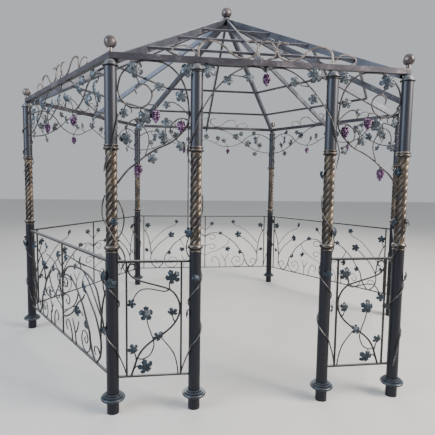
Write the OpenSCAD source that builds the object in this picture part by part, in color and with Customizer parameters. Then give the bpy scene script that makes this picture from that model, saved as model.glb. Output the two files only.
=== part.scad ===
// Hexagonal garden gazebo of steel pipe and forged iron, with rope-twisted posts and
// grapevine ironwork. Millimetres, +Z up, origin on the floor under the roof's apex.
// The front side, with the doorway, faces -Y.

/* [Plan] */
// Length of each side, between the centres of two corner posts
side = 2200; // [2100:10:2600]
// Distance between the centres of the two door posts
door_w = 1008; // [950:1:1100]

/* [Posts] */
// Outer diameter of the post pipe
post_d = 89; // [76:1:95]
// Wall of the post pipe
post_wall = 3; // [2:0.5:5]
// Length of the pipe below the lower collar
lower_pipe_h = 1190; // [1150:10:1300]
// Length of the pipe above the upper collar
upper_pipe_h = 525; // [450:5:600]
// Length of the twisted shaft
shaft_h = 664; // [560:1:760]
// Outer diameter of the twisted shaft
shaft_d = 84; // [70:1:90]
// Number of strands in the twisted shaft
strands = 5; // [4:1:6]
// Height in which a strand goes once round
strand_lead = 270; // [220:1:340]

/* [Flanges and collars] */
// Height of the foot flange above the end of the pipe
flange_z = 104; // [60:1:160]
// Outer diameter of the foot flange
flange_d = 178; // [150:1:220]
// Thickness of the foot flange
flange_h = 44; // [30:1:60]
// Outer diameter of the collars
collar_d = 112; // [104:1:130]
// Height of the lower collar
lower_collar_h = 56; // [40:1:80]
// Height of the upper collar
upper_collar_h = 44; // [34:1:70]
// How far a collar's neck and a head's ring stand out from the post pipe
neck_step = 2; // [1:0.5:4]
// Height of the head cap, ring and dome together
head_h = 56; // [46:1:80]

/* [Beams and roof] */
// Width and height of the square eave beam
beam_w = 40; // [30:1:60]
// Wall of the eave beam and of the hip rafter
tube_wall = 2; // [1.5:0.5:3]
// Rise of the roof, from the corners to the apex
roof_rise = 1015; // [700:5:1300]
// How far the roof starts below the top of the beams
roof_sink = 25; // [15:1:28]
// Width of a hip rafter
hip_w = 40; // [30:1:50]
// Depth of a hip rafter, square to its slope
hip_h = 58; // [48:1:70]
// Width of a middle rafter
rafter_w = 25; // [16:1:30]
// Depth of a middle rafter
rafter_h = 6; // [5:1:12]
// Width and depth of a purlin
purlin_w = 20; // [12:1:25]
// Share of the slope between the beam and the lowest purlin ring
first_ring = 0.2; // [0.15:0.005:0.25]
// Share of the slope between two purlin rings
ring_step = 0.232; // [0.2:0.004:0.26]
// Diameter of the hub at the apex
hub_d = 96; // [92:1:120]
// Diameter of the apex dome
dome_d = 188; // [160:1:220]
// Diameter of the apex ball
apex_ball_d = 118; // [80:1:150]
// Diameter of a corner ball
corner_ball_d = 88; // [60:1:110]
// Height of the neck under a corner ball
corner_neck_h = 28; // [20:1:40]
// Height of the neck under the apex ball
apex_neck_h = 6; // [6:1:20]
// Width of the scroll crest that stands on a beam
crest_w = 1380; // [1000:10:1600]
// Height of the scroll crest
crest_h = 140; // [100:5:180]

/* [Low panels] */
// Height of the underside of the bottom rail
rail_low_z = 262; // [180:1:320]
// Height of the underside of the top rail
rail_top_z = 1116; // [1000:1:1140]
// Width of the top rail
top_rail_w = 40; // [25:1:50]
// Thickness of the top rail
top_rail_h = 15; // [8:1:25]
// Width of the bottom rail
low_rail_w = 24; // [16:1:40]
// Thickness of the bottom rail
low_rail_h = 12; // [8:1:20]
// Width of the square uprights
upright_w = 12; // [8:1:16]
// Distance from a post's face to the first upright
upright_gap = 56; // [30:1:90]

/* [Ironwork] */
// Thickness of the vines and scrolls
bar_t = 10; // [6:1:14]
// Width of a main vine at its root
vine_w = 12; // [8:1:16]
// Width of a thin stem
stem_w = 7; // [5:1:9]
// Width across a large leaf
leaf_w = 108; // [80:1:130]
// Thickness of a leaf
leaf_t = 3; // [2:0.5:5]
// Diameter of the rod that winds up a post
winder_d = 11; // [8:1:14]
// Height in which that rod goes once round the post
winder_lead = 385; // [300:5:500]
// Height that the rod climbs on its way from the upright to the post
winder_rise = 150; // [80:5:200]
// Distance from the rod's top to the lower collar
winder_gap = 66; // [30:1:120]
// Diameter of a grape
grape_d = 24; // [16:1:30]

/* [Hidden] */
// Clearance where a piece seats on a round one
fit = 0.3;
half_side = side / 2;
apothem = side * sqrt(3) / 2;
post_r = post_d / 2;
shaft_z = lower_pipe_h + lower_collar_h;
upper_collar_z = shaft_z + shaft_h;
upper_pipe_z = upper_collar_z + upper_collar_h;
head_z = upper_pipe_z + upper_pipe_h;
beam_z = head_z + head_h;
beam_top_z = beam_z + beam_w;
// How far a weld fills the notch between two bars
weld = stem_w * 0.07;

// Places a piece on side k, counted to the right from the front. On a side, x runs to the
// right as seen from outside, z runs up and -y points outwards.
module on_side(k) rotate([0, 0, 60 * k]) translate([0, -apothem, 0]) children();

// Stands a flat outline up on a side, t thick, with the outline's y as the height
module upright_plate(t) rotate([90, 0, 0]) linear_extrude(t, center = true) children();

module on_corner(k) on_side(k) translate([-half_side, 0, 0]) children();

module on_corners() for (k = [0 : 5]) on_corner(k) children();

module on_door_posts() for (s = [-1, 1]) on_side(0) translate([s * door_w / 2, 0, 0]) children();

module on_posts() {
    on_corners() children();
    on_door_posts() children();
}

module tube(d, h, wall) {
    difference() {
        cylinder(h = h, d = d, $fn = 64);
        translate([0, 0, -1]) cylinder(h = h + 2, d = d - 2 * wall, $fn = 64);
    }
}

module post_pipes() {
    tube(post_d, lower_pipe_h, post_wall);
    translate([0, 0, upper_pipe_z]) tube(post_d, upper_pipe_h, post_wall);
}

module corner_post(k) color("#25282d") on_corner(k) post_pipes();

module door_post(s) color("#25282d") on_side(0) translate([s * door_w / 2, 0, 0]) post_pipes();

// Rope section: round strands side by side on a circle, drawn with so many points each
strand_r = shaft_d / 2 * 0.45;
strand_points = 3;
strand_spread = 55;
strand_slices = 8;
function rope_outline() = [
    for (s = [0 : strands - 1], j = [0 : strand_points - 1])
        let (
            mid = 360 / strands * s,
            turn = mid + strand_spread * (2 * j / (strand_points - 1) - 1)
        )
        (shaft_d / 2 - strand_r) * [cos(mid), sin(mid)] + strand_r * [cos(turn), sin(turn)]];

module twisted_shafts() {
    color("#6b5646") on_posts() translate([0, 0, shaft_z])
        linear_extrude(shaft_h, twist = -360 * shaft_h / strand_lead,
                       slices = ceil(shaft_h / strand_lead * strand_slices), segments = 0)
            polygon(rope_outline());
}

// Lower collar: a fat bead on a neck with a thin ring round it
module lower_collar() {
    bead_r = lower_collar_h * 0.34;
    ring_r = lower_collar_h * 0.06;
    neck_r = post_r + neck_step;
    reach = collar_d / 2 - bead_r;
    rotate_extrude($fn = 64) {
        square([neck_r - ring_r, lower_collar_h]);
        square([reach, lower_collar_h]);
        translate([reach, lower_collar_h - bead_r]) circle(r = bead_r, $fn = 40);
        translate([neck_r, 2 * ring_r]) circle(r = ring_r, $fn = 20);
    }
}

module lower_collars() color("#7a614c") on_posts() translate([0, 0, lower_pipe_h]) lower_collar();

// Upper collar: a bead over the twisted shaft, and a thinner ring above it
module upper_collar() {
    bead_r = upper_collar_h * 0.22;
    ring_r = upper_collar_h * 0.09;
    neck_r = post_r + neck_step;
    reach = collar_d / 2;
    rotate_extrude($fn = 64) {
        polygon([
            [0, 0], [shaft_d / 2, 0], [reach - bead_r, bead_r],
            [neck_r, 2.5 * bead_r], [neck_r, upper_collar_h], [0, upper_collar_h]]);
        translate([reach - bead_r, 1.5 * bead_r]) circle(r = bead_r, $fn = 40);
        translate([neck_r, upper_collar_h - 2 * ring_r]) circle(r = ring_r * 1.6, $fn = 24);
    }
}

module upper_collars() color("#7a614c") on_posts() translate([0, 0, upper_collar_z]) upper_collar();

module foot_flanges() {
    bore = post_r + fit;
    r = flange_d / 2;
    step = flange_h / 4;
    color("#33343a") on_posts() translate([0, 0, flange_z]) rotate_extrude($fn = 72)
        translate([bore, 0]) {
            square([r - bore - step / 2, 2 * step]);
            translate([r - bore - step, step]) circle(r = step, $fn = 32);
            square([(r - bore) * 0.62, 3 * step]);
            square([(r - bore) * 0.3, 4 * step]);
        }
}

ring_h = head_h * 0.28;
ring_x = post_r + 2 * neck_step;

module head_cap() {
    rotate_extrude($fn = 64) {
        square([ring_x, ring_h]);
        translate([ring_x, ring_h / 2]) intersection() {
            circle(r = ring_h / 2, $fn = 32);
            translate([-ring_h, -ring_h]) square([2 * ring_h, 2 * ring_h]);
        }
        translate([0, ring_h]) intersection() {
            scale_r = (post_r * post_r + pow(head_h - ring_h, 2)) / (2 * (head_h - ring_h));
            translate([0, head_h - ring_h - scale_r]) circle(r = scale_r, $fn = 96);
            square([post_r, head_h - ring_h]);
        }
    }
}

module head_caps() color("#6f5a49") on_posts() translate([0, 0, head_z]) head_cap();

module corner_balls() {
    neck_r = beam_w * 0.5;
    sunk = corner_ball_d * 0.035;
    color("#8a7768") on_corners() translate([0, 0, beam_top_z]) {
        cylinder(h = corner_neck_h, r1 = neck_r, r2 = neck_r * 0.86, $fn = 48);
        translate([0, 0, corner_neck_h + corner_ball_d / 2 - sunk]) sphere(d = corner_ball_d, $fn = 64);
    }
}

// Plan outline of a beam, mitred at both corners
module beam_plan(w, over) {
    reach = w / 2 * tan(30);
    polygon([
        [-half_side - reach - over, -w / 2], [half_side + reach + over, -w / 2],
        [half_side - reach + over, w / 2], [-half_side + reach - over, w / 2]]);
}

module eave_beam(k) {
    color("#3c3a3a") on_side(k) translate([0, 0, beam_z]) difference() {
        linear_extrude(beam_w) beam_plan(beam_w, -fit);
        translate([0, 0, tube_wall]) linear_extrude(beam_w - 2 * tube_wall)
            beam_plan(beam_w - 2 * tube_wall, 5);
    }
}

// The roof's plane: height at the distance d from the axis, square to a side
roof_slope = atan(roof_rise / apothem);
function roof_z(d) = beam_top_z - roof_sink + roof_rise * (1 - d / apothem);

// The dome's rim rests on the tops of the hip rafters
dome_z = roof_z(0) - dome_d / 2 * roof_rise / side;

module dome_room() translate([0, 0, dome_z - fit]) cylinder(h = roof_rise, r = dome_d / 2 + fit, $fn = 72);

// Room between two hip rafters, from above
module between_hips(gap) {
    tip = gap / sin(30);
    reach = apothem + 50;
    translate([0, apothem]) polygon([
        [0, -tip], [-(reach - tip) * tan(30), -reach], [(reach - tip) * tan(30), -reach]]);
}

module hip_rafter() {
    hip_slope = atan(roof_rise / side);
    depth = hip_h / cos(hip_slope);
    inner = hub_d / 2 + fit;
    top_z = roof_z(0);
    module profile(d, wall) {
        polygon([
            [-side, top_z - roof_rise - wall], [0, top_z - wall],
            [0, top_z - depth + wall], [-side, top_z - roof_rise - depth + wall]]);
    }
    rotate([0, 0, 30]) difference() {
        rotate([90, 0, 90]) linear_extrude(hip_w, center = true) profile(depth, 0);
        rotate([90, 0, 90]) linear_extrude(hip_w - 2 * tube_wall, center = true)
            profile(depth, tube_wall / cos(hip_slope));
        translate([0, 0, top_z - 3 * depth]) cylinder(h = 4 * depth, r = inner, $fn = 64);
        translate([-hip_w, -side - hip_w, beam_z - hip_h]) cube([2 * hip_w, hip_w + beam_w * 0.6, 4 * hip_h]);
    }
}

module beam_room() {
    translate([0, 0, beam_z - fit]) linear_extrude(beam_w + 2 * fit) difference() {
        circle(r = side + beam_w, $fn = 6);
        circle(r = side - (beam_w / 2 + fit) / cos(30), $fn = 6);
    }
}

module hip_rafters() {
    color("#4a4a4e") difference() {
        for (k = [0 : 5]) rotate([0, 0, 60 * k]) hip_rafter();
        beam_room();
        dome_room();
        on_corners() translate([0, 0, head_z]) cylinder(h = head_h, r = ring_x + ring_h / 2 + fit, $fn = 64);
    }
}

// Bar that follows the roof's plane up the middle of a side
module middle_rafters() {
    depth = rafter_h / cos(roof_slope);
    color("#4a4a4e") difference() {
        for (k = [0 : 5]) on_side(k) intersection() {
            rotate([90, 0, 90]) linear_extrude(rafter_w, center = true)
                polygon([
                    [beam_w / 2, roof_z(apothem - beam_w / 2)], [apothem, roof_z(0)],
                    [apothem, roof_z(0) - depth], [beam_w / 2, roof_z(apothem - beam_w / 2) - depth]]);
            translate([0, 0, beam_z]) linear_extrude(2 * roof_rise) between_hips(hip_w / 2 + fit);
        }
        beam_room();
        dome_room();
    }
}

module purlin_ring(number) {
    d = apothem * (1 - first_ring - ring_step * number);
    drop = (rafter_h + fit) / cos(roof_slope);
    color("#43454a") for (k = [0 : 5]) on_side(k) intersection() {
        translate([0, apothem - d, roof_z(d) - drop]) rotate([roof_slope, 0, 0])
            translate([-half_side, -purlin_w / 2, -purlin_w]) cube([side, purlin_w, purlin_w]);
        translate([0, 0, beam_top_z]) linear_extrude(2 * roof_rise) between_hips(hip_w / 2 + fit);
    }
}

module lower_purlins() purlin_ring(0);

module middle_purlins() purlin_ring(1);

module upper_purlins() purlin_ring(2);

hub_h = hip_h * 0.9;
dome_h = dome_d * 0.21;
dome_rim = 6;

module apex_dome() {
    ball_r = (pow(dome_d / 2, 2) + dome_h * dome_h) / (2 * dome_h);
    color("#4a4a4e") {
        translate([0, 0, dome_z - hub_h]) cylinder(h = hub_h, d = hub_d, $fn = 64);
        translate([0, 0, dome_z]) rotate_extrude($fn = 72) {
            square([dome_d / 2, dome_rim]);
            translate([0, dome_rim]) intersection() {
                translate([0, dome_h - ball_r]) circle(r = ball_r, $fn = 128);
                square([dome_d / 2, dome_h]);
            }
        }
    }
}

module apex_ball() {
    neck_r = apex_ball_d * 0.2;
    sunk = apex_ball_d * 0.045;
    color("#8a7768") translate([0, 0, dome_z + dome_rim + dome_h - 1]) {
        cylinder(h = apex_neck_h, r = neck_r, $fn = 48);
        translate([0, 0, apex_neck_h + apex_ball_d / 2 - sunk]) sphere(d = apex_ball_d, $fn = 72);
    }
}

// A smooth curve through hand-chosen points, with so many steps from each to the next
function between(a, b, c, d, t) =
    0.5 * (2 * b + (c - a) * t + (2 * a - 5 * b + 4 * c - d) * t * t + (3 * b - a - 3 * c + d) * t * t * t);

function curve(keys, steps) = [
    for (i = [0 : len(keys) - 2], j = [0 : steps - 1])
        between(keys[max(i - 1, 0)], keys[i], keys[i + 1], keys[min(i + 2, len(keys) - 1)], j / steps),
    keys[len(keys) - 1]];

// The way a path runs at point i, as a unit vector
function heading(path, i) =
    let (step = path[min(i + 1, len(path) - 1)] - path[max(i - 1, 0)])
    step / norm(step);

// Forged bar along a curve, tapered from its root to its tip
module bar(keys, root_w, tip_w, steps = 2) {
    path = curve(keys, steps);
    last = len(path) - 1;
    edge = [for (i = [0 : last])
        let (way = heading(path, i))
        (root_w + (tip_w - root_w) * i / last) / 2 * [-way.y, way.x]];
    polygon(concat(
        [for (i = [0 : last]) path[i] + edge[i]],
        [for (i = [last : -1 : 0]) path[i] - edge[i]]));
}

// Vine leaf of five lobes; its tip points along the turn and its stem joins at the far side.
// Each lobe has a notch, two shoulders and a tip, given as [angle, share of the reach]; the
// lobes of a small leaf are blunt.
LOBE = [[-36, 0.5], [-15, 0.88], [4, 1], [18, 0.84]];
BLUNT_LOBE = [[-36, 0.5], [-13, 0.93], [12, 0.97]];

module leaf(share, turn) {
    rotate(turn) polygon([
        for (lobe = [0 : 4], p = share < 0.9 ? BLUNT_LOBE : LOBE)
            let (a = 72 * lobe + p[0])
            leaf_w * share / 2 * p[1] * [cos(a), sin(a)]]);
}

module welded() offset(delta = -weld) offset(delta = weld) children();

// Points of a pattern, given as shares of the clear width and height of its field
function in_field(field, keys) = [for (k = keys) [field.x * k.x, field.y * k.y]];

module vine(field, keys, steps = 2) bar(in_field(field, keys), vine_w, stem_w, steps);

module stem(field, keys, steps = 2) bar(in_field(field, keys), stem_w, stem_w, steps);

// Leaves of a pattern: each has its place in the field, its share of the full size and its turn
module leaves(field, list) {
    for (l = list) translate([field.x * l[0], field.y * l[1]]) leaf(l[2], l[3]);
}

// Rails and uprights of a low panel between two posts whose centres are w apart
module panel_frame(w) {
    module coped(z, depth, h) {
        difference() {
            translate([-w / 2, -depth / 2, z]) cube([w, depth, h]);
            for (s = [-1, 1]) translate([s * w / 2, 0, z - 1])
                cylinder(h = h + 2, r = post_r + fit, $fn = 64);
        }
    }
    coped(rail_top_z, top_rail_w, top_rail_h);
    coped(rail_low_z, low_rail_w, low_rail_h);
}

module panel_upright(x) {
    translate([x - upright_w / 2, -upright_w / 2, rail_low_z + low_rail_h / 2])
        cube([upright_w, upright_w, rail_top_z - rail_low_z]);
}

field_z = rail_low_z + low_rail_h;
field_h = rail_top_z - field_z;

// Grapevine of a narrow panel: one S-shaped vine with side stems and seven leaves
module narrow_pattern(w) {
    field = [w, field_h];
    translate([-w / 2, 0, 0]) {
        upright_plate(bar_t) translate([0, field_z]) intersection() {
            translate([0, -low_rail_h / 2]) square([w, field_h + low_rail_h]);
            welded() {
                vine(field, [
                    [0.08, -0.01], [0.14, 0.08], [0.21, 0.17], [0.31, 0.24], [0.48, 0.31], [0.67, 0.365],
                    [0.85, 0.44], [0.95, 0.52], [0.975, 0.59], [0.95, 0.66], [0.87, 0.725], [0.76, 0.765],
                    [0.57, 0.795], [0.38, 0.82], [0.22, 0.845], [0.1, 0.875], [0.035, 0.92],
                    [0.03, 0.955], [0.07, 0.985], [0.15, 0.98], [0.17, 0.95], [0.11, 0.935]]);
                vine(field, [
                    [0.95, -0.01], [0.92, 0.1], [0.86, 0.19], [0.76, 0.26], [0.62, 0.34]]);
                stem(field, [
                    [0.19, 0.155], [0.29, 0.145], [0.42, 0.18], [0.49, 0.25], [0.49, 0.31],
                    [0.44, 0.38], [0.39, 0.45], [0.36, 0.55]]);
                stem(field, [
                    [0.78, 0.76], [0.7, 0.745], [0.58, 0.755], [0.42, 0.77], [0.28, 0.765],
                    [0.18, 0.73], [0.09, 0.645]]);
                stem(field, [[0.79, 0.76], [0.78, 0.81], [0.84, 0.865]]);
                stem(field, [[0.88, 0.47], [0.85, 0.5], [0.84, 0.555]]);
                stem(field, [[0.17, 0.13], [0.16, 0.17], [0.12, 0.235]]);
                stem(field, [[0.1, 0.03], [0.18, 0.085], [0.34, 0.07]]);
                stem(field, [[0.7, 0.37], [0.64, 0.37], [0.58, 0.345]]);
            }
        }
        upright_plate(leaf_t) translate([0, field_z]) leaves(field, [
            [0.84, 0.865, 1, 110], [0.09, 0.645, 0.62, 200], [0.36, 0.55, 1, 95],
            [0.84, 0.555, 0.66, 100], [0.58, 0.345, 0.68, 260], [0.12, 0.235, 0.7, 120],
            [0.34, 0.07, 1.05, 10]]);
    }
}

// The pattern's clear width lies between the two uprights
module narrow_panel(s) {
    w = half_side - door_w / 2;
    clear = w - post_d - 2 * upright_gap;
    on_side(0) translate([s * (door_w / 2 + w / 2), 0, 0]) {
        panel_frame(w);
        for (e = [-1, 1]) panel_upright(e * clear / 2);
        mirror([s > 0 ? 1 : 0, 0, 0]) narrow_pattern(clear);
    }
}

module low_panel_door_left() color("#2f2c2a") narrow_panel(-1);

module low_panel_door_right() color("#2f2c2a") narrow_panel(1);

// Half of a long panel's grapevine: an arch from its foot to the middle upright, an outer vine
// to the end upright, and scrolls at the foot and on the middle upright
module half_pattern(w) {
    field = [w, field_h];
    upright_plate(bar_t) translate([0, field_z]) intersection() {
        translate([0, -low_rail_h / 2]) square([w, field_h + low_rail_h]);
        welded() {
            vine(field, [
                [0.77, -0.01], [0.71, 0.06], [0.67, 0.15], [0.65, 0.24], [0.58, 0.35], [0.51, 0.46],
                [0.43, 0.54], [0.35, 0.61], [0.26, 0.66], [0.16, 0.68], [0.08, 0.67], [0, 0.62]], 1);
            vine(field, [
                [0.79, -0.01], [0.85, 0.05], [0.88, 0.11], [0.89, 0.19], [0.88, 0.26], [0.85, 0.33],
                [0.78, 0.44], [0.7, 0.52], [0.56, 0.64]], 1);
            vine(field, [[0.88, 0.26], [0.9, 0.44], [0.93, 0.6], [1, 0.76]]);
            stem(field, [
                [0.9, 0.46], [0.85, 0.53], [0.78, 0.62], [0.68, 0.73], [0.59, 0.79], [0.5, 0.83],
                [0.47, 0.9]], 1);
            stem(field, [
                [0.41, 0.56], [0.38, 0.47], [0.3, 0.39], [0.18, 0.32], [0.09, 0.29], [0, 0.23]], 1);
            stem(field, [
                [0, 0.6], [0.07, 0.64], [0.14, 0.64], [0.17, 0.6], [0.14, 0.55], [0.09, 0.56],
                [0.08, 0.59]]);
            stem(field, [
                [0, 0.41], [0.07, 0.45], [0.14, 0.45], [0.17, 0.41], [0.14, 0.36], [0.09, 0.37],
                [0.08, 0.4]]);
            stem(field, [[0.25, -0.01], [0.24, 0.11], [0.18, 0.2], [0.12, 0.17], [0.12, 0.11], [0.16, 0.09]]);
            stem(field, [[0.35, -0.01], [0.34, 0.12], [0.27, 0.25]]);
            stem(field, [[0.34, 0.12], [0.37, 0.2], [0.4, 0.26]], 1);
            stem(field, [
                [0.67, 0.15], [0.65, 0.07], [0.61, 0.02], [0.54, 0], [0.48, 0.04], [0.455, 0.11],
                [0.49, 0.19], [0.56, 0.2], [0.6, 0.14], [0.57, 0.09], [0.53, 0.11], [0.54, 0.15]]);
            stem(field, [[0.88, 0.09], [0.84, 0.15], [0.79, 0.15], [0.77, 0.1], [0.8, 0.07]]);
            stem(field, [[0.97, 0.7], [0.96, 0.76], [0.94, 0.83]], 1);
            stem(field, [[0.885, 0.3], [0.95, 0.35]], 1);
            stem(field, [[0, 0.74], [0.06, 0.79], [0.11, 0.86]], 1);
            stem(field, [[0.3, 0.39], [0.38, 0.36]], 1);
            stem(field, [[0.64, 0.26], [0.59, 0.29]], 1);
        }
    }
    upright_plate(leaf_t) translate([0, field_z]) leaves(field, [
        [0.94, 0.83, 0.82, 100], [0.56, 0.64, 1, 150], [0.26, 0.67, 0.62, 80], [0.38, 0.36, 0.8, 280],
        [0.59, 0.29, 0.66, 200], [0.95, 0.35, 0.62, 30], [0.47, 0.9, 0.62, 120], [0.11, 0.86, 0.62, 60]]);
}

module long_panel(k) {
    end_x = half_side - post_r - upright_gap;
    color("#2f2c2a") on_side(k) {
        panel_frame(side);
        for (x = [-end_x, 0, end_x]) panel_upright(x);
        for (m = [0, 1]) mirror([m, 0, 0]) half_pattern(end_x);
    }
}

// Spandrels hang under the beams. Their field is measured down from the beam.
drop_h = upper_pipe_h + head_h;

module hanging(t) translate([0, 0, beam_z - fit]) upright_plate(t) children();

// Narrow bay, from the door post to the corner post: one vine that leaves the corner post's
// shaft, climbs beside the door post and ends in a large coil under the beam
module narrow_spandrel(s) {
    clear = half_side - door_w / 2 - post_d - 2 * fit;
    field = [clear, -drop_h];
    color("#2f2c2a") on_side(0) mirror([s < 0 ? 1 : 0, 0, 0]) translate([door_w / 2 + post_r + fit, 0, 0]) {
        hanging(bar_t) intersection() {
            translate([0, -2 * drop_h]) square([clear, 2 * drop_h]);
            welded() {
                vine(field, [
                    [1.01, 1.47], [0.87, 1.31], [0.76, 1.23], [0.62, 1.13], [0.46, 1.04], [0.27, 0.96],
                    [0.14, 0.86], [0.05, 0.76], [0.02, 0.65], [0.03, 0.49], [0.06, 0.34], [0.13, 0.2],
                    [0.25, 0.08], [0.38, 0.02], [0.53, 0.006], [0.69, 0.014], [0.83, 0.07], [0.94, 0.17],
                    [0.985, 0.29], [0.98, 0.4], [0.93, 0.49], [0.83, 0.55], [0.71, 0.56], [0.6, 0.52],
                    [0.54, 0.44], [0.54, 0.36], [0.61, 0.29], [0.7, 0.28], [0.76, 0.33], [0.74, 0.4]]);
                stem(field, [[0.03, 0.62], [0.14, 0.53], [0.25, 0.48], [0.33, 0.51]]);
                stem(field, [
                    [0.03, 0.68], [0.12, 0.665], [0.2, 0.69], [0.27, 0.76], [0.27, 0.85], [0.22, 0.9],
                    [0.18, 0.88]]);
                stem(field, [[0.89, 0.53], [0.81, 0.58], [0.82, 0.63]]);
                stem(field, [[0.6, 0.52], [0.54, 0.52], [0.48, 0.53], [0.48, 0.55], [0.48, 0.57]]);
                stem(field, [[0.65, 0.545], [0.62, 0.6]], 1);
                stem(field, [[0.13, 0.665], [0.13, 0.685]], 1);
                stem(field, [[0.72, 1.2], [0.72, 1.26]], 1);
                stem(field, [
                    [0.68, 0.56], [0.7, 0.65], [0.72, 0.72], [0.64, 0.79], [0.58, 0.89], [0.58, 1],
                    [0.63, 1.13]]);
                stem(field, [[0.7, 0.7], [0.8, 0.71], [0.87, 0.78], [0.885, 0.93]]);
                stem(field, [[0.3, 0.97], [0.35, 0.84], [0.33, 0.73]]);
                stem(field, [[0.2, 0.9], [0.17, 0.95], [0.13, 1]]);
                stem(field, [[0.7, 0.28], [0.74, 0.2], [0.75, 0.11]]);
                stem(field, [[0.05, 0.42], [0.13, 0.4]], 1);
            }
        }
        hanging(leaf_t) leaves(field, [
            [0.75, 0.115, 1, 60], [0.13, 0.4, 0.75, 300], [0.62, 0.6, 0.62, 250], [0.33, 0.73, 0.7, 80],
            [0.13, 1, 0.62, 220], [0.7, 0.77, 0.62, 350], [0.885, 0.93, 0.8, 280],
            [0.33, 0.51, 0.5, 340]]);
    }
}

module spandrel_narrow_left() narrow_spandrel(-1);

module spandrel_narrow_right() narrow_spandrel(1);

// Half of a long side's grapevine, from the middle of the beam to a post: a wave along the
// beam, crossed by an arc that drops from the beam to the post
module half_spandrel(w) {
    field = [w, -drop_h];
    hanging(bar_t) intersection() {
        translate([0, -2 * drop_h]) square([w, 2 * drop_h]);
        welded() {
            vine(field, [
                [1.01, 0.62], [0.9, 0.6], [0.8, 0.56], [0.69, 0.47], [0.59, 0.37], [0.45, 0.19],
                [0.31, 0.04], [0.2, 0.005]]);
            vine(field, [
                [1.01, 0.24], [0.91, 0.14], [0.83, 0.1], [0.75, 0.11], [0.64, 0.19], [0.55, 0.34],
                [0.44, 0.43], [0.34, 0.46], [0.24, 0.45], [0.12, 0.36], [0, 0.27]]);
            stem(field, [[0.83, 0.1], [0.83, 0.16], [0.78, 0.22]], 1);
            stem(field, [[0.6, 0.25], [0.62, 0.31], [0.65, 0.36]], 1);
            stem(field, [[0.45, 0.19], [0.5, 0.14], [0.54, 0.1]], 1);
            stem(field, [[0.81, 0.565], [0.84, 0.48], [0.85, 0.4]], 1);
            stem(field, [[0.8, 0.56], [0.78, 0.6], [0.77, 0.64]], 1);
            stem(field, [[0.14, 0.37], [0.19, 0.31], [0.18, 0.24]], 1);
            stem(field, [[0.34, 0.45], [0.34, 0.5]], 1);
        }
    }
    hanging(leaf_t) leaves(field, [
        [0.78, 0.22, 0.72, 250], [0.65, 0.36, 1, 280], [0.54, 0.1, 0.7, 60], [0.85, 0.4, 0.7, 80],
        [0.77, 0.64, 0.7, 290], [0.18, 0.24, 0.72, 100]]);
}

module long_spandrel(k) {
    half = half_side - post_r - fit;
    color("#2f2c2a") on_side(k) {
        for (m = [0, 1]) mirror([m, 0, 0]) half_spandrel(half);
        hanging(bar_t) translate([-stem_w / 2, -drop_h * 0.28]) square([stem_w, drop_h * 0.28]);
        hanging(leaf_t) translate([0, -drop_h * 0.2]) leaf(0.8, 270);
    }
}

// Crest: mirrored S-scrolls that stand on a beam and meet at a ring
module crest(k) {
    field = [crest_w / 2, crest_h];
    color("#4b4440") on_side(k) translate([0, 0, beam_top_z - fit]) {
        upright_plate(bar_t) welded() for (m = [0, 1]) mirror([m, 0]) {
            vine(field, [
                [0.72, 0], [0.71, 0.57], [0.65, 0.8], [0.55, 0.84], [0.46, 0.63], [0.36, 0.23],
                [0.27, 0.07], [0.19, 0.09], [0.12, 0.34], [0.1, 0.71], [0.15, 0.96], [0.23, 0.91]]);
            stem(field, [[0.72, 0], [0.8, 0.46], [0.89, 0.52], [0.97, 0.4], [0.98, 0.17], [0.92, 0.04]]);
        }
        translate([0, 0, crest_h / 2]) rotate([90, 0, 0]) difference() {
            cylinder(h = bar_t, d = crest_h, center = true, $fn = 64);
            cylinder(h = bar_t + 2, d = crest_h - 2 * stem_w, center = true, $fn = 64);
        }
    }
}

module roof_crests() for (k = [0 : 5]) crest(k);

// Rod along a row of points in space, closed at both ends
module round_rod(path, d, sides = 5) {
    last = len(path) - 1;
    rings = [for (i = [0 : last])
        let (
            way = path[min(i + 1, last)] - path[max(i - 1, 0)],
            run = way / norm(way),
            across = cross(run, [0, 0, 1]) / norm(cross(run, [0, 0, 1])),
            up = cross(across, run)
        )
        [for (j = [0 : sides - 1])
            path[i] + d / 2 * (cos(360 / sides * j) * across + sin(360 / sides * j) * up)]];
    points = [for (r = rings, p = r) p];
    faces = concat(
        [[for (j = [0 : sides - 1]) j]],
        [for (i = [0 : last - 1], j = [0 : sides - 1], half = [0, 1])
            let (a = i * sides + j, b = i * sides + (j + 1) % sides)
            half == 0 ? [a, a + sides, b + sides] : [a, b + sides, b]],
        [[for (j = [sides - 1 : -1 : 0]) last * sides + j]]);
    polyhedron(points, faces);
}

// Path of a rod that leaves the foot of an upright, climbs across to the post in three steps
// and winds up it, towards -y first
winder_z = field_z + upright_w;
landing_turn = 54;
winder_turn = 360 * (lower_pipe_h - winder_gap - winder_z - winder_rise) / winder_lead;
function winder_path() =
    let (
        steps = 16,
        step = (winder_turn - landing_turn) / steps,
        near = (post_r + winder_d / 2 + fit) / cos(step / 2),
        far = post_r + upright_gap - upright_w / 2
    )
    [for (i = [-3 : steps])
        let (
            turn = landing_turn + (i < 0 ? landing_turn / 3 * i : step * i),
            left = max(0, -i / 3),
            r = near + (far - near) * left
        )
        [r * cos(turn), -r * sin(turn), winder_z + winder_rise * (1 - left) + winder_lead * turn / 360]];

module winder(s) mirror([s > 0 ? 1 : 0, 0, 0]) round_rod(winder_path(), winder_d);

module post_vines() {
    color("#2f2c2a") {
        on_corner(0) winder(-1);
        on_corner(1) winder(1);
        on_side(0) {
            translate([-door_w / 2, 0, 0]) winder(1);
            translate([door_w / 2, 0, 0]) winder(-1);
        }
        for (k = [2 : 5]) on_corner(k) winder(-1);
    }
}

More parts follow.
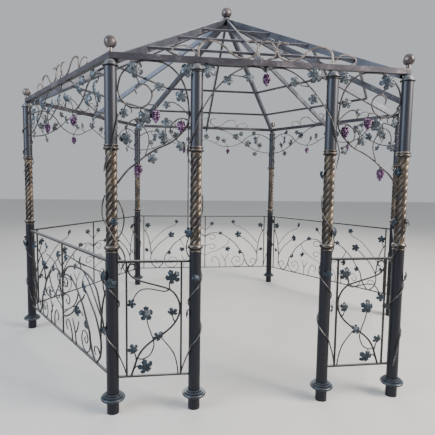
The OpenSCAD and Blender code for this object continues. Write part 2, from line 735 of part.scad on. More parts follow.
// Half of the arch over the doorway, as a round rod: it leaves the middle of the beam, crosses
// the front of the door post and ends beside its twisted shaft. The head's points are shares of
// half the doorway and of the drop; the foot's are turns about the post, room past it, and drops.
ARM_HEAD = [
    [0.02, 0.03], [0.1, 0.008], [0.2, 0], [0.3, 0.012], [0.42, 0.055], [0.55, 0.13], [0.68, 0.24],
    [0.8, 0.37]];
ARM_FOOT = [
    [115, 2, 0.61], [75, 2, 0.8], [40, 4, 0.92], [14, 17, 1.04], [14, 8, 1.15], [42, 2, 1.24]];
function arm_keys() =
    let (near = post_r + winder_d / 2 + fit)
    concat(
        [for (k = ARM_HEAD)
            [k.x * door_w / 2, -near * pow(k.y / ARM_FOOT[0][2], 2), -drop_h * k.y - winder_d / 2 - fit]],
        [for (k = ARM_FOOT)
            let (r = near + k[1])
            [door_w / 2 + r * cos(k[0]), -r * sin(k[0]), -drop_h * k[2]]]);

module door_spandrel(s) {
    color("#2f2c2a") on_side(0) translate([0, 0, beam_z]) mirror([s < 0 ? 1 : 0, 0, 0])
        round_rod(curve(arm_keys(), 2), winder_d);
}

// Bunch of grapes on a stalk: five balls under a small cap, round three on a wire
module grapes(stalk_h) {
    pitch = grape_d + fit;
    wire_d = grape_d * 0.25;
    cylinder(h = stalk_h, d = stem_w, $fn = 24);
    translate([0, 0, -3 * pitch]) cylinder(h = 3 * pitch, d = wire_d, $fn = 16);
    for (i = [0 : 2]) translate([0, 0, -pitch * (i + 0.5)]) sphere(d = grape_d, $fn = 24);
    for (j = [0 : 4]) rotate(72 * j) translate([0.93 * pitch, 0, -pitch / 2]) sphere(d = grape_d, $fn = 24);
    translate([0, 0, -leaf_t]) cylinder(h = leaf_t, r = pitch, $fn = 32);
}

// A bunch whose stalk ends a little under the drop, measured from the beam
module hung_grapes(x, drop, stalk_h) translate([x, 0, beam_z - drop - 2 * fit - stalk_h]) grapes(stalk_h);

module grape_bunches() {
    bay_x = door_w / 2 + post_r + fit;
    bay_w = half_side - door_w / 2 - post_d - 2 * fit;
    half = half_side - post_r - fit;
    color("#6b2f6e") {
        on_side(0) {
            for (m = [0, 1], b = [[0.48, 0.57], [0.13, 0.685], [0.72, 1.26]]) mirror([m, 0, 0])
                hung_grapes(bay_x + bay_w * b.x, drop_h * b.y, stem_w);
            hung_grapes(0, 0, 5 * stem_w);
        }
        for (k = [1 : 5]) on_side(k) for (m = [0, 1]) mirror([m, 0, 0])
            hung_grapes(half * 0.34, drop_h * 0.5, 2 * stem_w);
    }
}

corner_post(0);  // corner_post_front_left
corner_post(1);  // corner_post_front_right
corner_post(2);  // corner_post_right
corner_post(3);  // corner_post_back_right
corner_post(4);  // corner_post_back_left
corner_post(5);  // corner_post_left
door_post(-1);  // door_post_left
door_post(1);  // door_post_right
twisted_shafts();
foot_flanges();
lower_collars();
upper_collars();
head_caps();
corner_balls();
eave_beam(0);  // eave_beam_front
eave_beam(1);  // eave_beam_front_right
eave_beam(2);  // eave_beam_back_right
eave_beam(3);  // eave_beam_back
eave_beam(4);  // eave_beam_back_left
eave_beam(5);  // eave_beam_front_left
hip_rafters();
middle_rafters();
lower_purlins();
middle_purlins();
upper_purlins();
apex_dome();
apex_ball();
low_panel_door_left();
low_panel_door_right();
long_panel(1);  // low_panel_front_right
long_panel(2);  // low_panel_back_right
long_panel(3);  // low_panel_back
long_panel(4);  // low_panel_back_left
long_panel(5);  // low_panel_front_left
spandrel_narrow_left();
door_spandrel(-1);  // spandrel_door_left
door_spandrel(1);  // spandrel_door_right
spandrel_narrow_right();
long_spandrel(1);  // spandrel_front_right
long_spandrel(2);  // spandrel_back_right
long_spandrel(3);  // spandrel_back
long_spandrel(4);  // spandrel_back_left
long_spandrel(5);  // spandrel_front_left
roof_crests();
post_vines();
grape_bunches();
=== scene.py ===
"""Hexagonal garden gazebo of steel pipe and forged iron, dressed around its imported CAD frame.
Metres, +Z up, the doorway faces -Y."""
import math
import random
from functools import partial

import bmesh
import bpy
from mathutils import Euler, Matrix, Vector


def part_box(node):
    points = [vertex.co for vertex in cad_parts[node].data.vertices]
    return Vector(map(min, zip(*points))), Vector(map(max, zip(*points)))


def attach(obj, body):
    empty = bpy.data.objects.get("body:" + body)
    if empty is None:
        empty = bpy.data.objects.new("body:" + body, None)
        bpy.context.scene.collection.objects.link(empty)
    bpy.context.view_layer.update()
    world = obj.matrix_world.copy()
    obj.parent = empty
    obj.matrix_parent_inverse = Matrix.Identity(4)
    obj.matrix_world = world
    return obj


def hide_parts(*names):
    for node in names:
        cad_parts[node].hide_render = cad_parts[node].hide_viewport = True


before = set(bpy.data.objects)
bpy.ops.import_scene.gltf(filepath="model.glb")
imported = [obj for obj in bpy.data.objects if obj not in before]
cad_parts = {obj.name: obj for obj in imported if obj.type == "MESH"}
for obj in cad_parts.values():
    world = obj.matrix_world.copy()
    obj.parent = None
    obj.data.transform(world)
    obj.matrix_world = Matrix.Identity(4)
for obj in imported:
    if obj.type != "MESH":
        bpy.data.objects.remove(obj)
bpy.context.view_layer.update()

# Floor, studio light and camera. The camera stands where the photographer stood, a little left
# of the doorway and turned to the right; the floor is a pale seamless sheet.
CAMERA_AT = Vector((-0.777, -4.925, 1.715))
CAMERA_YAW, CAMERA_PITCH, CAMERA_ROLL = math.radians(8.17), math.radians(-5.10), math.radians(0.84)
level_right = Vector((math.cos(CAMERA_YAW), -math.sin(CAMERA_YAW), 0))
forward = Vector((math.sin(CAMERA_YAW) * math.cos(CAMERA_PITCH),
                  math.cos(CAMERA_YAW) * math.cos(CAMERA_PITCH), math.sin(CAMERA_PITCH)))
level_up = level_right.cross(forward)
right = math.cos(CAMERA_ROLL) * level_right + math.sin(CAMERA_ROLL) * level_up
up = right.cross(forward)


def placed(name, data):
    """Makes an object of some data and puts it in the scene."""
    made = bpy.data.objects.new(name, data)
    bpy.context.collection.objects.link(made)
    return made


camera_data = bpy.data.cameras.new("camera")
camera_data.lens, camera_data.sensor_width, camera_data.sensor_fit = 34.58, 36, "HORIZONTAL"
camera_data.clip_end = 200
camera = placed("camera", camera_data)
camera.matrix_world = Matrix((
    (right.x, up.x, -forward.x, CAMERA_AT.x), (right.y, up.y, -forward.y, CAMERA_AT.y),
    (right.z, up.z, -forward.z, CAMERA_AT.z), (0, 0, 0, 1)))
bpy.context.scene.camera = camera

LIT_MIDDLE, FLOOR_REACH = Vector((0, 0, 1.6)), 30


def soft_light(name, at, size, power, colour):
    """A soft box that looks at the middle of the gazebo."""
    data = bpy.data.lights.new(name, "AREA")
    data.shape, data.size, data.energy, data.color = "SQUARE", size, power, colour
    lamp = placed(name, data)
    lamp.location = at
    lamp.rotation_euler = (LIT_MIDDLE - Vector(at)).to_track_quat("-Z", "Y").to_euler()


soft_light("key_light", (6.5, -5.0, 5.5), 4.0, 1450, (1.0, 0.91, 0.83))
soft_light("fill_light", (-7.5, -4.5, 4.5), 5.0, 700, (0.7, 0.84, 1.0))
soft_light("rim_light", (1.5, 8.0, 6.0), 5.0, 420, (1.0, 0.97, 0.92))

world = bpy.data.worlds.new("studio")
bpy.context.scene.world = world
world.use_nodes = True
sky = world.node_tree.nodes["Background"].inputs
sky["Color"].default_value, sky["Strength"].default_value = (0.86, 0.9, 0.95, 1), 0.6

floor_mesh = bpy.data.meshes.new("floor")
floor_mesh.from_pydata([(x * FLOOR_REACH, y * FLOOR_REACH, 0) for x, y in ((-1, -1), (1, -1), (1, 1), (-1, 1))],
                       [], [(0, 1, 2, 3)])
floor = placed("floor", floor_mesh)
floor_paint = bpy.data.materials.new("pale_floor")
floor_paint.use_nodes = True
floor_shader = floor_paint.node_tree.nodes["Principled BSDF"].inputs
floor_shader["Base Color"].default_value = (0.62, 0.61, 0.59, 1)
floor_shader["Roughness"].default_value = 0.9
floor_mesh.materials.append(floor_paint)


# Post pipes: eight round steel tubes in charcoal paint that is rubbed warm along its length, with a painted
# blue-grey sheen that grows towards the top. The helpers for nodes, finishes, wear and painted light come
# first, as all the sections share them.
def feed(made, links):
    """Feeds a node's inputs, each from a node's first output, from a socket or with a value."""
    for label, source in links.items():
        if isinstance(source, bpy.types.Node):
            source = source.outputs[0]
        if isinstance(source, bpy.types.NodeSocket):
            made.id_data.links.new(source, made.inputs[label])
        else:
            made.inputs[label].default_value = source


def node(tree, kind, links=None, **settings):
    """Adds a node, sets it and feeds it."""
    made = tree.nodes.new(kind)
    for key, value in settings.items():
        setattr(made, key, value)
    feed(made, links or {})
    return made


def maths(tree, operation, *terms):
    """Adds a Math node on one to three terms."""
    return node(tree, "ShaderNodeMath", dict(enumerate(terms)), operation=operation)


def blend(tree, share, under, over):
    """Lays a share of one colour over another."""
    return node(tree, "ShaderNodeMix", {"Factor": share, 6: under, 7: over}, data_type="RGBA").outputs[2]


def grouped(name, tree_type, inputs, outputs):
    """An empty node group, the sockets that it is given and the node that takes its results."""
    group = bpy.data.node_groups.new(name, tree_type)
    for label, kind, value in inputs:
        socket = group.interface.new_socket(label, in_out="INPUT", socket_type="NodeSocket" + kind)
        if value is not None:
            socket.default_value = value
    for label, kind in outputs:
        group.interface.new_socket(label, in_out="OUTPUT", socket_type="NodeSocket" + kind)
    return group, node(group, "NodeGroupInput").outputs, node(group, "NodeGroupOutput")


# Worn coat, shared by every painted or rubbed metal here: broad mottling, fine speckle and
# streaks along the height, with the ground colour rubbed through to a second one.
FINE_SCALE, FINE_SHARE, RUB_EDGE, RUB_SOFT, ROUGH_SWING, ROUGH_DROP = 14.0, 0.45, 1.05, 0.22, 0.35, 0.17
HAMMER_DEPTH = 0.0008
worn_coat, given, taken = grouped(
    "worn coat", "ShaderNodeTree",
    [("Coat", "Color", (0.03, 0.035, 0.05, 1)), ("Rubbed", "Color", (0.3, 0.22, 0.16, 1)),
     ("Grime", "Color", (0.01, 0.01, 0.012, 1)), ("Rub", "Float", 0.4), ("Scale", "Float", 9.0),
     ("Stretch", "Float", 0.25), ("Rough", "Float", 0.45)],
    [("Colour", "Color"), ("Roughness", "Float"), ("Height", "Float")])
place = node(worn_coat, "ShaderNodeTexCoord").outputs["Object"]
stretch = node(worn_coat, "ShaderNodeCombineXYZ", {"X": 1.0, "Y": 1.0, "Z": given["Stretch"]})
drawn = node(worn_coat, "ShaderNodeVectorMath", {0: place, 1: stretch}, operation="MULTIPLY")
broad = node(worn_coat, "ShaderNodeTexNoise",
             {"Vector": drawn, "Scale": given["Scale"], "Detail": 5.0, "Roughness": 0.6}).outputs["Fac"]
fine_scale = maths(worn_coat, "MULTIPLY", given["Scale"], FINE_SCALE)
fine = node(worn_coat, "ShaderNodeTexNoise", {"Vector": place, "Scale": fine_scale, "Detail": 3.0}).outputs["Fac"]
spread = maths(worn_coat, "MULTIPLY_ADD", fine, FINE_SHARE, broad)
low_edge = maths(worn_coat, "SUBTRACT", RUB_EDGE, given["Rub"])
high_edge = maths(worn_coat, "ADD", low_edge, RUB_SOFT)
rub_mask = node(worn_coat, "ShaderNodeMapRange", {"Value": spread, "From Min": low_edge, "From Max": high_edge},
                interpolation_type="SMOOTHSTEP")
grime_mask = node(worn_coat, "ShaderNodeMapRange",
                  {"Value": broad, "From Min": 0.5, "From Max": 0.32, "To Max": 0.75})
grimed = blend(worn_coat, grime_mask, given["Coat"], given["Grime"])
rough_lift = maths(worn_coat, "MULTIPLY_ADD", broad, ROUGH_SWING, given["Rough"])
feed(taken, {"Colour": blend(worn_coat, rub_mask, grimed, given["Rubbed"]),
             "Roughness": maths(worn_coat, "SUBTRACT", rough_lift, ROUGH_DROP), "Height": spread})


def metal_finish(name, coat, worn, grime, rub, metallic, rough, scale, bump, stretch=1.0):
    """A metal material from the worn coat, with its own colours, wear and hammer marks."""
    material = bpy.data.materials.new(name)
    material.use_nodes = True
    tree = material.node_tree
    coating = node(tree, "ShaderNodeGroup",
                   {"Coat": (*coat, 1), "Rubbed": (*worn, 1), "Grime": (*grime, 1), "Rub": rub,
                    "Scale": scale, "Stretch": stretch, "Rough": rough}, node_tree=worn_coat).outputs
    hammered = node(tree, "ShaderNodeBump",
                    {"Height": coating["Height"], "Strength": bump, "Distance": HAMMER_DEPTH})
    feed(tree.nodes["Principled BSDF"], {"Base Color": coating["Colour"], "Roughness": coating["Roughness"],
                                         "Normal": hammered, "Metallic": metallic})
    return material


def mix_over(material, value, start, end, colour, most, **ramp):
    """Lays a colour over a finish as a value in its tree runs from start to end."""
    tree = material.node_tree
    base = tree.nodes["Principled BSDF"].inputs["Base Color"]
    share = node(tree, "ShaderNodeMapRange",
                 {"Value": value, "From Min": start, "From Max": end, "To Max": most}, **ramp)
    tree.links.new(blend(tree, share, base.links[0].from_socket, (*colour, 1)), base)


def mix_wear_and_shade(material, attribute, *tone_args):
    """Lays a colour by an attribute of the surface, such as its veins."""
    marked = node(material.node_tree, "ShaderNodeAttribute", attribute_name=attribute, attribute_type="GEOMETRY")
    mix_over(material, marked.outputs["Fac"], *tone_args)


def mix_painted_light_and_shade(material, *tone_args, coordinate="Normal", **ramp):
    """Lays a colour as painted light: a painted highlight where a surface faces up and painted shade where it faces
    down, by the ramp given.
    With the coordinate Object it goes by the height instead."""
    place = node(material.node_tree, "ShaderNodeTexCoord").outputs[coordinate]
    mix_over(material, node(material.node_tree, "ShaderNodeSeparateXYZ", {0: place}).outputs["Z"], *tone_args, **ramp)


def dress(names, material):
    """Gives CAD nodes their finish."""
    for name in names:
        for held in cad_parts[name].material_slots:
            held.material = material


CORNERS = ("front_left", "front_right", "right", "back_right", "back_left", "left")
SIDES = ("front", "front_right", "back_right", "back", "back_left", "front_left")
post_paint = metal_finish("charcoal_post_paint", (0.012, 0.013, 0.019), (0.06, 0.05, 0.048),
                          (0.006, 0.007, 0.011), 0.24, 0.5, 0.4, scale=5, stretch=0.12, bump=0.15)
# Painted sheen: the pipes grow lighter and bluer from 1.1 m up to 2.2 m, as the upper pipes catch the sky.
mix_painted_light_and_shade(post_paint, 1.1, 2.2, (0.04, 0.042, 0.053), 0.8, coordinate="Object", interpolation_type="SMOOTHSTEP")
dress(["corner_post_" + c for c in CORNERS] + ["door_post_left", "door_post_right"], post_paint)

# Foot flanges: stepped cast rings slipped over the pipes a hand's breadth above their ends.
flange_iron = metal_finish("cast_flange_iron", (0.026, 0.03, 0.038), (0.085, 0.09, 0.1),
                           (0.014, 0.015, 0.018), 0.34, 0.6, 0.36, scale=12, bump=0.25)
# Painted highlight: the faces that look up are laid a lighter blue-grey.
mix_painted_light_and_shade(flange_iron, 0.35, 0.9, (0.125, 0.155, 0.19), 0.8)
dress(["foot_flanges"], flange_iron)

# Collars and head caps: turned and brushed, rubbed to a warm brown, with painted highlights on top and painted shade
# below.
turned_bronze = metal_finish("turned_bronze", (0.055, 0.047, 0.044), (0.2, 0.17, 0.145),
                             (0.022, 0.018, 0.017), 0.36, 0.8, 0.34, scale=11, stretch=2.5, bump=0.12)
# Painted highlight on the faces that look up and painted shade on those that look down.
mix_painted_light_and_shade(turned_bronze, 0.2, 0.8, (0.34, 0.31, 0.28), 0.75)
mix_painted_light_and_shade(turned_bronze, -0.1, -0.6, (0.016, 0.013, 0.013), 0.9)
dress(["lower_collars", "upper_collars"], turned_bronze)
cap_paint = metal_finish("slate_cap_paint", (0.06, 0.058, 0.062), (0.22, 0.19, 0.17),
                         (0.02, 0.02, 0.022), 0.3, 0.7, 0.4, scale=11, bump=0.12)
# Painted highlight on the top of the caps and painted shade under them.
mix_painted_light_and_shade(cap_paint, 0.1, 0.7, (0.36, 0.38, 0.42), 0.75)
mix_painted_light_and_shade(cap_paint, -0.1, -0.7, (0.01, 0.01, 0.013), 0.95)
dress(["head_caps"], cap_paint)

# Beams: square tube with mitred corners, with painted shade below and a painted highlight where the sky lies on
# them.
beam_paint = metal_finish("dark_beam_paint", (0.062, 0.057, 0.07), (0.16, 0.143, 0.155),
                          (0.036, 0.034, 0.042), 0.32, 0.5, 0.45, scale=6, bump=0.12)
# Painted highlight on the tops and painted shade on the undersides.
mix_painted_light_and_shade(beam_paint, 0.5, 0.9, (0.3, 0.3, 0.33), 0.8)
mix_painted_light_and_shade(beam_paint, -0.3, -0.9, (0.015, 0.014, 0.02), 0.9)
dress(["eave_beam_" + s for s in SIDES], beam_paint)

# Hips and purlins: deep box tube over the corners with square bar between, its ends butt-welded.
roof_paint = metal_finish("roof_tube_paint", (0.088, 0.092, 0.113), (0.19, 0.193, 0.217),
                          (0.055, 0.058, 0.072), 0.3, 0.55, 0.42, scale=5, bump=0.12)
# Painted highlight on the faces that look up and painted shade on those that look down.
mix_painted_light_and_shade(roof_paint, 0.55, 0.85, (0.29, 0.295, 0.34), 0.8)
mix_painted_light_and_shade(roof_paint, -0.45, -0.85, (0.03, 0.032, 0.045), 0.8)
# The purlins get a darker copy of the roof paint, painted shade, with a painted highlight on their tops.
purlin_paint = metal_finish("purlin_paint_painted_shade", (0.05, 0.05, 0.064), (0.12, 0.115, 0.13),
                            (0.022, 0.022, 0.03), 0.28, 0.5, 0.45, scale=8, bump=0.12)
mix_painted_light_and_shade(purlin_paint, 0.6, 0.9, (0.34, 0.34, 0.4), 0.8)
dress(["hip_rafters"], roof_paint)
dress(["lower_purlins", "middle_purlins", "upper_purlins"], purlin_paint)

# Middle rafters: narrow box tube on edge, nearly as deep as the hips. One runs up the middle of
# each side from the inner face of the beam to the hub, with the purlins welded to its flanks.
SIDE = 2.2
APOTHEM = SIDE * math.sqrt(3) / 2
BEAM_W, ROOF_FOOT_Z, ROOF_RISE, HUB_R = 0.04, 2.55, 1.015, 0.046
RAFTER_W, RAFTER_H, RAFTER_EDGE = 0.025, 0.054, 0.0025


def on_side(k, x=0):
    """The place of side k, or of a spot x along it: x to the right seen from outside, y inwards, z up."""
    return Matrix.Rotation(math.radians(60 * k), 4, "Z") @ Matrix.Translation((x, -APOTHEM, 0))


def meshed(name, shape):
    """Turns an edited shape into a mesh."""
    mesh = bpy.data.meshes.new(name)
    shape.to_mesh(mesh)
    shape.free()
    return mesh


def finish_piece(name, mesh, material, nodes, smooth=True):
    """Makes a mesh a piece of the object: its finish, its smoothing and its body."""
    for polygon in mesh.polygons:
        polygon.use_smooth = smooth
    mesh.name = name
    if not mesh.materials:
        mesh.materials.append(material)
    piece = placed(name, mesh)
    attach(piece, "root")
    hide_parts(*nodes)


rafters = bmesh.new()
rafter_depth = RAFTER_H / math.cos(math.atan(ROOF_RISE / APOTHEM))
for k in range(6):
    rows = []
    for inward, down in ((BEAM_W / 2, 0), (APOTHEM - HUB_R, 0), (APOTHEM - HUB_R, rafter_depth),
                         (BEAM_W / 2, rafter_depth)):
        z = ROOF_FOOT_Z + ROOF_RISE * inward / APOTHEM - down
        rows.append([rafters.verts.new(on_side(k) @ Vector((x, inward, z)))
                     for x in (-RAFTER_W / 2, RAFTER_W / 2)])
    rafters.faces.new([row[0] for row in rows])
    rafters.faces.new([row[1] for row in reversed(rows)])
    for i in range(4):
        rafters.faces.new((rows[i][1], rows[(i + 1) % 4][1], rows[(i + 1) % 4][0], rows[i][0]))
bmesh.ops.bevel(rafters, geom=rafters.edges[:], offset=RAFTER_EDGE, segments=2, affect="EDGES")
bmesh.ops.recalc_face_normals(rafters, faces=rafters.faces[:])
finish_piece("middle_rafters_tube", meshed("middle_rafters", rafters), roof_paint,
             ["middle_rafters"], smooth=False)

# Balls and apex dome: spun hollow steel, brushed brown on the balls, with the dome left pale.
ball_metal = metal_finish("rubbed_ball_metal", (0.105, 0.088, 0.088), (0.26, 0.225, 0.215),
                          (0.045, 0.038, 0.04), 0.4, 0.7, 0.38, scale=13, bump=0.1)
# Painted highlight on the upper halves of the balls and painted shade under them.
mix_painted_light_and_shade(ball_metal, 0.2, 0.9, (0.34, 0.32, 0.33), 0.6)
mix_painted_light_and_shade(ball_metal, -0.2, -0.9, (0.03, 0.026, 0.03), 0.8)
dress(["corner_balls", "apex_ball"], ball_metal)
dome_paint = metal_finish("pale_dome_paint", (0.1, 0.1, 0.125), (0.24, 0.24, 0.28),
                          (0.06, 0.06, 0.075), 0.36, 0.6, 0.4, scale=13, bump=0.1)
# Painted highlight on the top of the dome and painted shade on the faces turned down.
mix_painted_light_and_shade(dome_paint, 0.15, 0.7, (0.27, 0.27, 0.34), 0.8)
mix_painted_light_and_shade(dome_paint, 0.05, -0.4, (0.02, 0.022, 0.035), 0.9)
dress(["apex_dome"], dome_paint)

# Twisted shafts: round strands laid up like rope between two collars of every post, hammered and rubbed to a
# warm bronze, with painted highlights on the faces that look up and near-black painted shade in the grooves.
SHAFT_R, STRAND_R, STRANDS, STRAND_LEAD, SEAM = 0.042, 0.0189, 5, 0.27, 0.0001
POST_R, DOOR_W = 0.0445, 1.008
shaft_low, shaft_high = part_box("twisted_shafts")


def forge_tree(name, *inputs):
    """A geometry tree that is given loose stock, values of its own and a finish."""
    return grouped(name, "GeometryNodeTree",
                   [("Geometry", "Geometry", None), *inputs, ("Finish", "Material", None)],
                   [("Geometry", "Geometry")])


def end_tree(given, taken, shape):
    """Ends a geometry tree: the shape becomes plain geometry and gets the finish."""
    tree = taken.id_data
    real = node(tree, "GeometryNodeRealizeInstances", {"Geometry": shape})
    feed(taken, {"Geometry": node(tree, "GeometryNodeSetMaterial",
                                  {"Geometry": real, "Material": given["Finish"]})})


def named(tree, label, data_type="FLOAT"):
    """Reads what each point of the stock carries under a name."""
    return node(tree, "GeometryNodeInputNamedAttribute", {"Name": label}, data_type=data_type).outputs["Attribute"]


def grown(name, mesh, tree, material, **values):
    """Runs a geometry tree on a mesh and returns the result as a plain mesh."""
    stock = placed(name + "_stock", mesh)
    step = stock.modifiers.new("forge", "NODES")
    step.node_group = tree
    sockets = {item.name: item.identifier for item in tree.interface.items_tree if item.in_out == "INPUT"}
    step[sockets["Finish"]] = material
    for label, value in values.items():
        step[sockets[label.replace("_", " ").capitalize()]] = value
    bpy.context.view_layer.update()
    ready = stock.evaluated_get(bpy.context.evaluated_depsgraph_get())
    result = bpy.data.meshes.new_from_object(ready, depsgraph=bpy.context.evaluated_depsgraph_get())
    bpy.data.objects.remove(stock)
    return result


def points_mesh(name, points, edges=(), **attributes):
    """A mesh of loose points, each with its own numbers for a geometry tree."""
    mesh = bpy.data.meshes.new(name)
    mesh.from_pydata([tuple(p) for p in points], list(edges), [])
    for label, values in attributes.items():
        if isinstance(values[0], (int, float)):
            mesh.attributes.new(label, "FLOAT", "POINT").data.foreach_set("value", values)
        else:
            flat = [number for value in values for number in value]
            mesh.attributes.new(label, "FLOAT_VECTOR", "POINT").data.foreach_set("vector", flat)
    return mesh


rope_tree, given, taken = forge_tree(
    "rope shaft", ("Height", "Float", 0.6), ("Radius", "Float", 0.04), ("Strands", "Float", 4.0),
    ("Lead", "Float", 0.2), ("Strand radius", "Float", 0.018), ("Round", "Int", 97), ("Along", "Int", 100))
sheet = node(rope_tree, "GeometryNodeMeshGrid",
             {"Size X": 1.0, "Size Y": 1.0, "Vertices X": given["Round"], "Vertices Y": given["Along"]})
at = node(rope_tree, "ShaderNodeSeparateXYZ", {0: node(rope_tree, "GeometryNodeInputPosition")}).outputs
rope = partial(maths, rope_tree)
round_share, height_share = rope("ADD", at["X"], 0.5), rope("ADD", at["Y"], 0.5)
turn = rope("MULTIPLY", round_share, math.tau)
level = rope("MULTIPLY", height_share, given["Height"])
twist = rope("DIVIDE", level, given["Lead"])
strand_place = rope("MULTIPLY", rope("SUBTRACT", round_share, twist), given["Strands"])
inside = rope("SUBTRACT", rope("FRACT", strand_place), 0.5)
swing = rope("DIVIDE", rope("MULTIPLY", inside, math.tau), given["Strands"])
strand_r = given["Strand radius"]
core = rope("SUBTRACT", given["Radius"], strand_r)
offside = rope("MULTIPLY", core, rope("SINE", swing))
left_over = rope("SUBTRACT", rope("MULTIPLY", strand_r, strand_r), rope("MULTIPLY", offside, offside))
reach = rope("ADD", rope("MULTIPLY", core, rope("COSINE", swing)),
             rope("SQRT", rope("MAXIMUM", left_over, 0.0)))
wrapped = node(rope_tree, "ShaderNodeCombineXYZ",
               {"X": rope("MULTIPLY", reach, rope("COSINE", turn)),
                "Y": rope("MULTIPLY", reach, rope("SINE", turn)), "Z": level})
rolled = node(rope_tree, "GeometryNodeSetPosition", {"Geometry": sheet, "Position": wrapped})
crown = node(rope_tree, "ShaderNodeMapRange", {"Value": reach, "From Min": 0.0, "From Max": given["Radius"]})
marked = node(rope_tree, "GeometryNodeStoreNamedAttribute",
              {"Geometry": rolled, "Name": "crown", "Value": crown}, data_type="FLOAT", domain="POINT")
closed = node(rope_tree, "GeometryNodeMergeByDistance", {"Geometry": marked, "Distance": SEAM})
end_tree(given, taken, node(rope_tree, "GeometryNodeInstanceOnPoints",
                            {"Points": given["Geometry"], "Instance": closed}))

rope_bronze = metal_finish("rubbed_rope_bronze", (0.046, 0.037, 0.031), (0.165, 0.126, 0.088),
                           (0.015, 0.015, 0.018), 0.36, 0.7, 0.38, scale=14, stretch=0.6, bump=0.25)
# Painted highlight on the faces that look up and painted shade on those that look down.
mix_painted_light_and_shade(rope_bronze, 0.25, 0.7, (0.32, 0.265, 0.2), 0.7)
mix_painted_light_and_shade(rope_bronze, -0.1, -0.5, (0.014, 0.014, 0.018), 0.8)
# Painted shade, near black, in the grooves between the strands, where the surface lies deepest.
mix_wear_and_shade(rope_bronze, "crown", 0.87, 0.8, (0.006, 0.006, 0.008), 0.92)
shaft_feet = [on_side(k, -SIDE / 2) for k in range(6)] + [on_side(0, s * DOOR_W / 2) for s in (-1, 1)]
stock = points_mesh("shaft_feet", [foot @ Vector((0, 0, shaft_low[2])) for foot in shaft_feet])
shafts = grown("twisted_shafts", stock, rope_tree, rope_bronze, height=shaft_high[2] - shaft_low[2],
               radius=SHAFT_R, strands=float(STRANDS), lead=STRAND_LEAD, strand_radius=STRAND_R)
finish_piece("twisted_shafts_rope", shafts, rope_bronze, ["twisted_shafts"])

# Forged rods: round bar drawn thinner from root to tip and bent cold into vines and scrolls.
# Each rod is a row of points joined by edges that carries its own radius.
SNUB_TIP, SNUB_NEAR, LEAF_SIZES = 0.55, 0.86, (0.94, 1.06)
rod_tree, given, taken = forge_tree("forged rods", ("Sides", "Int", 8))
spine = node(rod_tree, "GeometryNodeMeshToCurve", {"Mesh": given["Geometry"]})
section = node(rod_tree, "GeometryNodeCurvePrimitiveCircle", {"Resolution": given["Sides"], "Radius": 1.0})
end_tree(given, taken, node(rod_tree, "GeometryNodeCurveToMesh",
                            {"Curve": spine, "Profile Curve": section, "Scale": named(rod_tree, "thick"),
                             "Fill Caps": True}))


def smooth_path(keys, steps=5):
    """A smooth curve through given places."""
    keys = [Vector(k) for k in keys]
    path = []
    for i in range(len(keys) - 1):
        a, b, c, d = keys[max(i - 1, 0)], keys[i], keys[i + 1], keys[min(i + 2, len(keys) - 1)]
        for j in range(steps):
            t = j / steps
            path.append(0.5 * (2 * b + (c - a) * t + (2 * a - 5 * b + 4 * c - d) * t * t
                               + (3 * b - a - 3 * c + d) * t * t * t))
    return path + [keys[-1]]


class Ironwork:
    """Rods and leaves of one panel, collected in its side's frame and set in place together."""

    def __init__(self, place, seed):
        self.place, self.dice = place, random.Random(seed)
        self.points, self.edges, self.radii = [], [], []
        self.leaf_points, self.leaf_turns, self.leaf_sizes = [], [], []

    def rod(self, path, root_r, tip_r):
        """A rod along a path, drawn thinner to its tip and snubbed there."""
        first, last = len(self.points), len(path) - 1
        for i, point in enumerate(path):
            snub = SNUB_TIP if i == last else SNUB_NEAR if i == last - 1 else 1.0
            self.points.append(self.place @ point)
            self.radii.append((root_r + (tip_r - root_r) * i / last) * snub)
        self.edges += [(first + i, first + i + 1) for i in range(last)]

    def leaf(self, at, size, turn, out=-0.009, tilt=22):
        """A leaf whose tip points along the turn and whose face looks out of the side."""
        a = math.radians(turn)
        facing = Matrix(((math.cos(a), -math.sin(a), 0), (0, 0, -1), (math.sin(a), math.cos(a), 0)))
        bend = Euler([math.radians(self.dice.uniform(-tilt, tilt)) for _ in "xyz"]).to_matrix()
        self.leaf_points.append(self.place @ (Vector(at) + Vector((0, out, 0))))
        self.leaf_turns.append(tuple((self.place.to_3x3() @ facing @ bend).to_euler()))
        self.leaf_sizes.append(size * self.dice.uniform(*LEAF_SIZES))

    def finish(self, name, iron, leaf_paint=None, nodes=None, sides=8):
        """Makes a piece of the rods and one of the leaves, in the place of the CAD node."""
        rods = grown(name, points_mesh(name, self.points, self.edges, thick=self.radii), rod_tree, iron, sides=sides)
        finish_piece(name + "_rods", rods, iron, nodes or [name])
        if self.leaf_points:
            stock = points_mesh(name, self.leaf_points, turned=self.leaf_turns, size=self.leaf_sizes)
            leaves = grown(name, stock, leaf_tree, leaf_paint, pressed_leaf=leaf_pattern)
            finish_piece(name + "_leaves", leaves, leaf_paint, nodes or [name])


forged_iron = metal_finish("forged_brown_iron", (0.036, 0.032, 0.034), (0.15, 0.13, 0.12),
                           (0.014, 0.012, 0.013), 0.34, 0.5, 0.4, scale=26, bump=0.3)
# Painted highlight on the faces that look up.
mix_painted_light_and_shade(forged_iron, 0.3, 0.95, (0.31, 0.31, 0.31), 0.8)
# The low panels get a darker copy of the forged iron, painted shade, with a painted highlight on the faces that look
# up.
panel_iron = metal_finish("panel_iron_painted_shade", (0.018, 0.016, 0.018), (0.1, 0.086, 0.078),
                          (0.009, 0.008, 0.009), 0.28, 0.4, 0.42, scale=26, bump=0.3)
mix_painted_light_and_shade(panel_iron, 0.5, 0.95, (0.24, 0.25, 0.265), 0.75)
crest_iron = metal_finish("pale_crest_iron", (0.15, 0.125, 0.115), (0.34, 0.29, 0.26),
                          (0.06, 0.05, 0.047), 0.38, 0.5, 0.42, scale=26, bump=0.3)

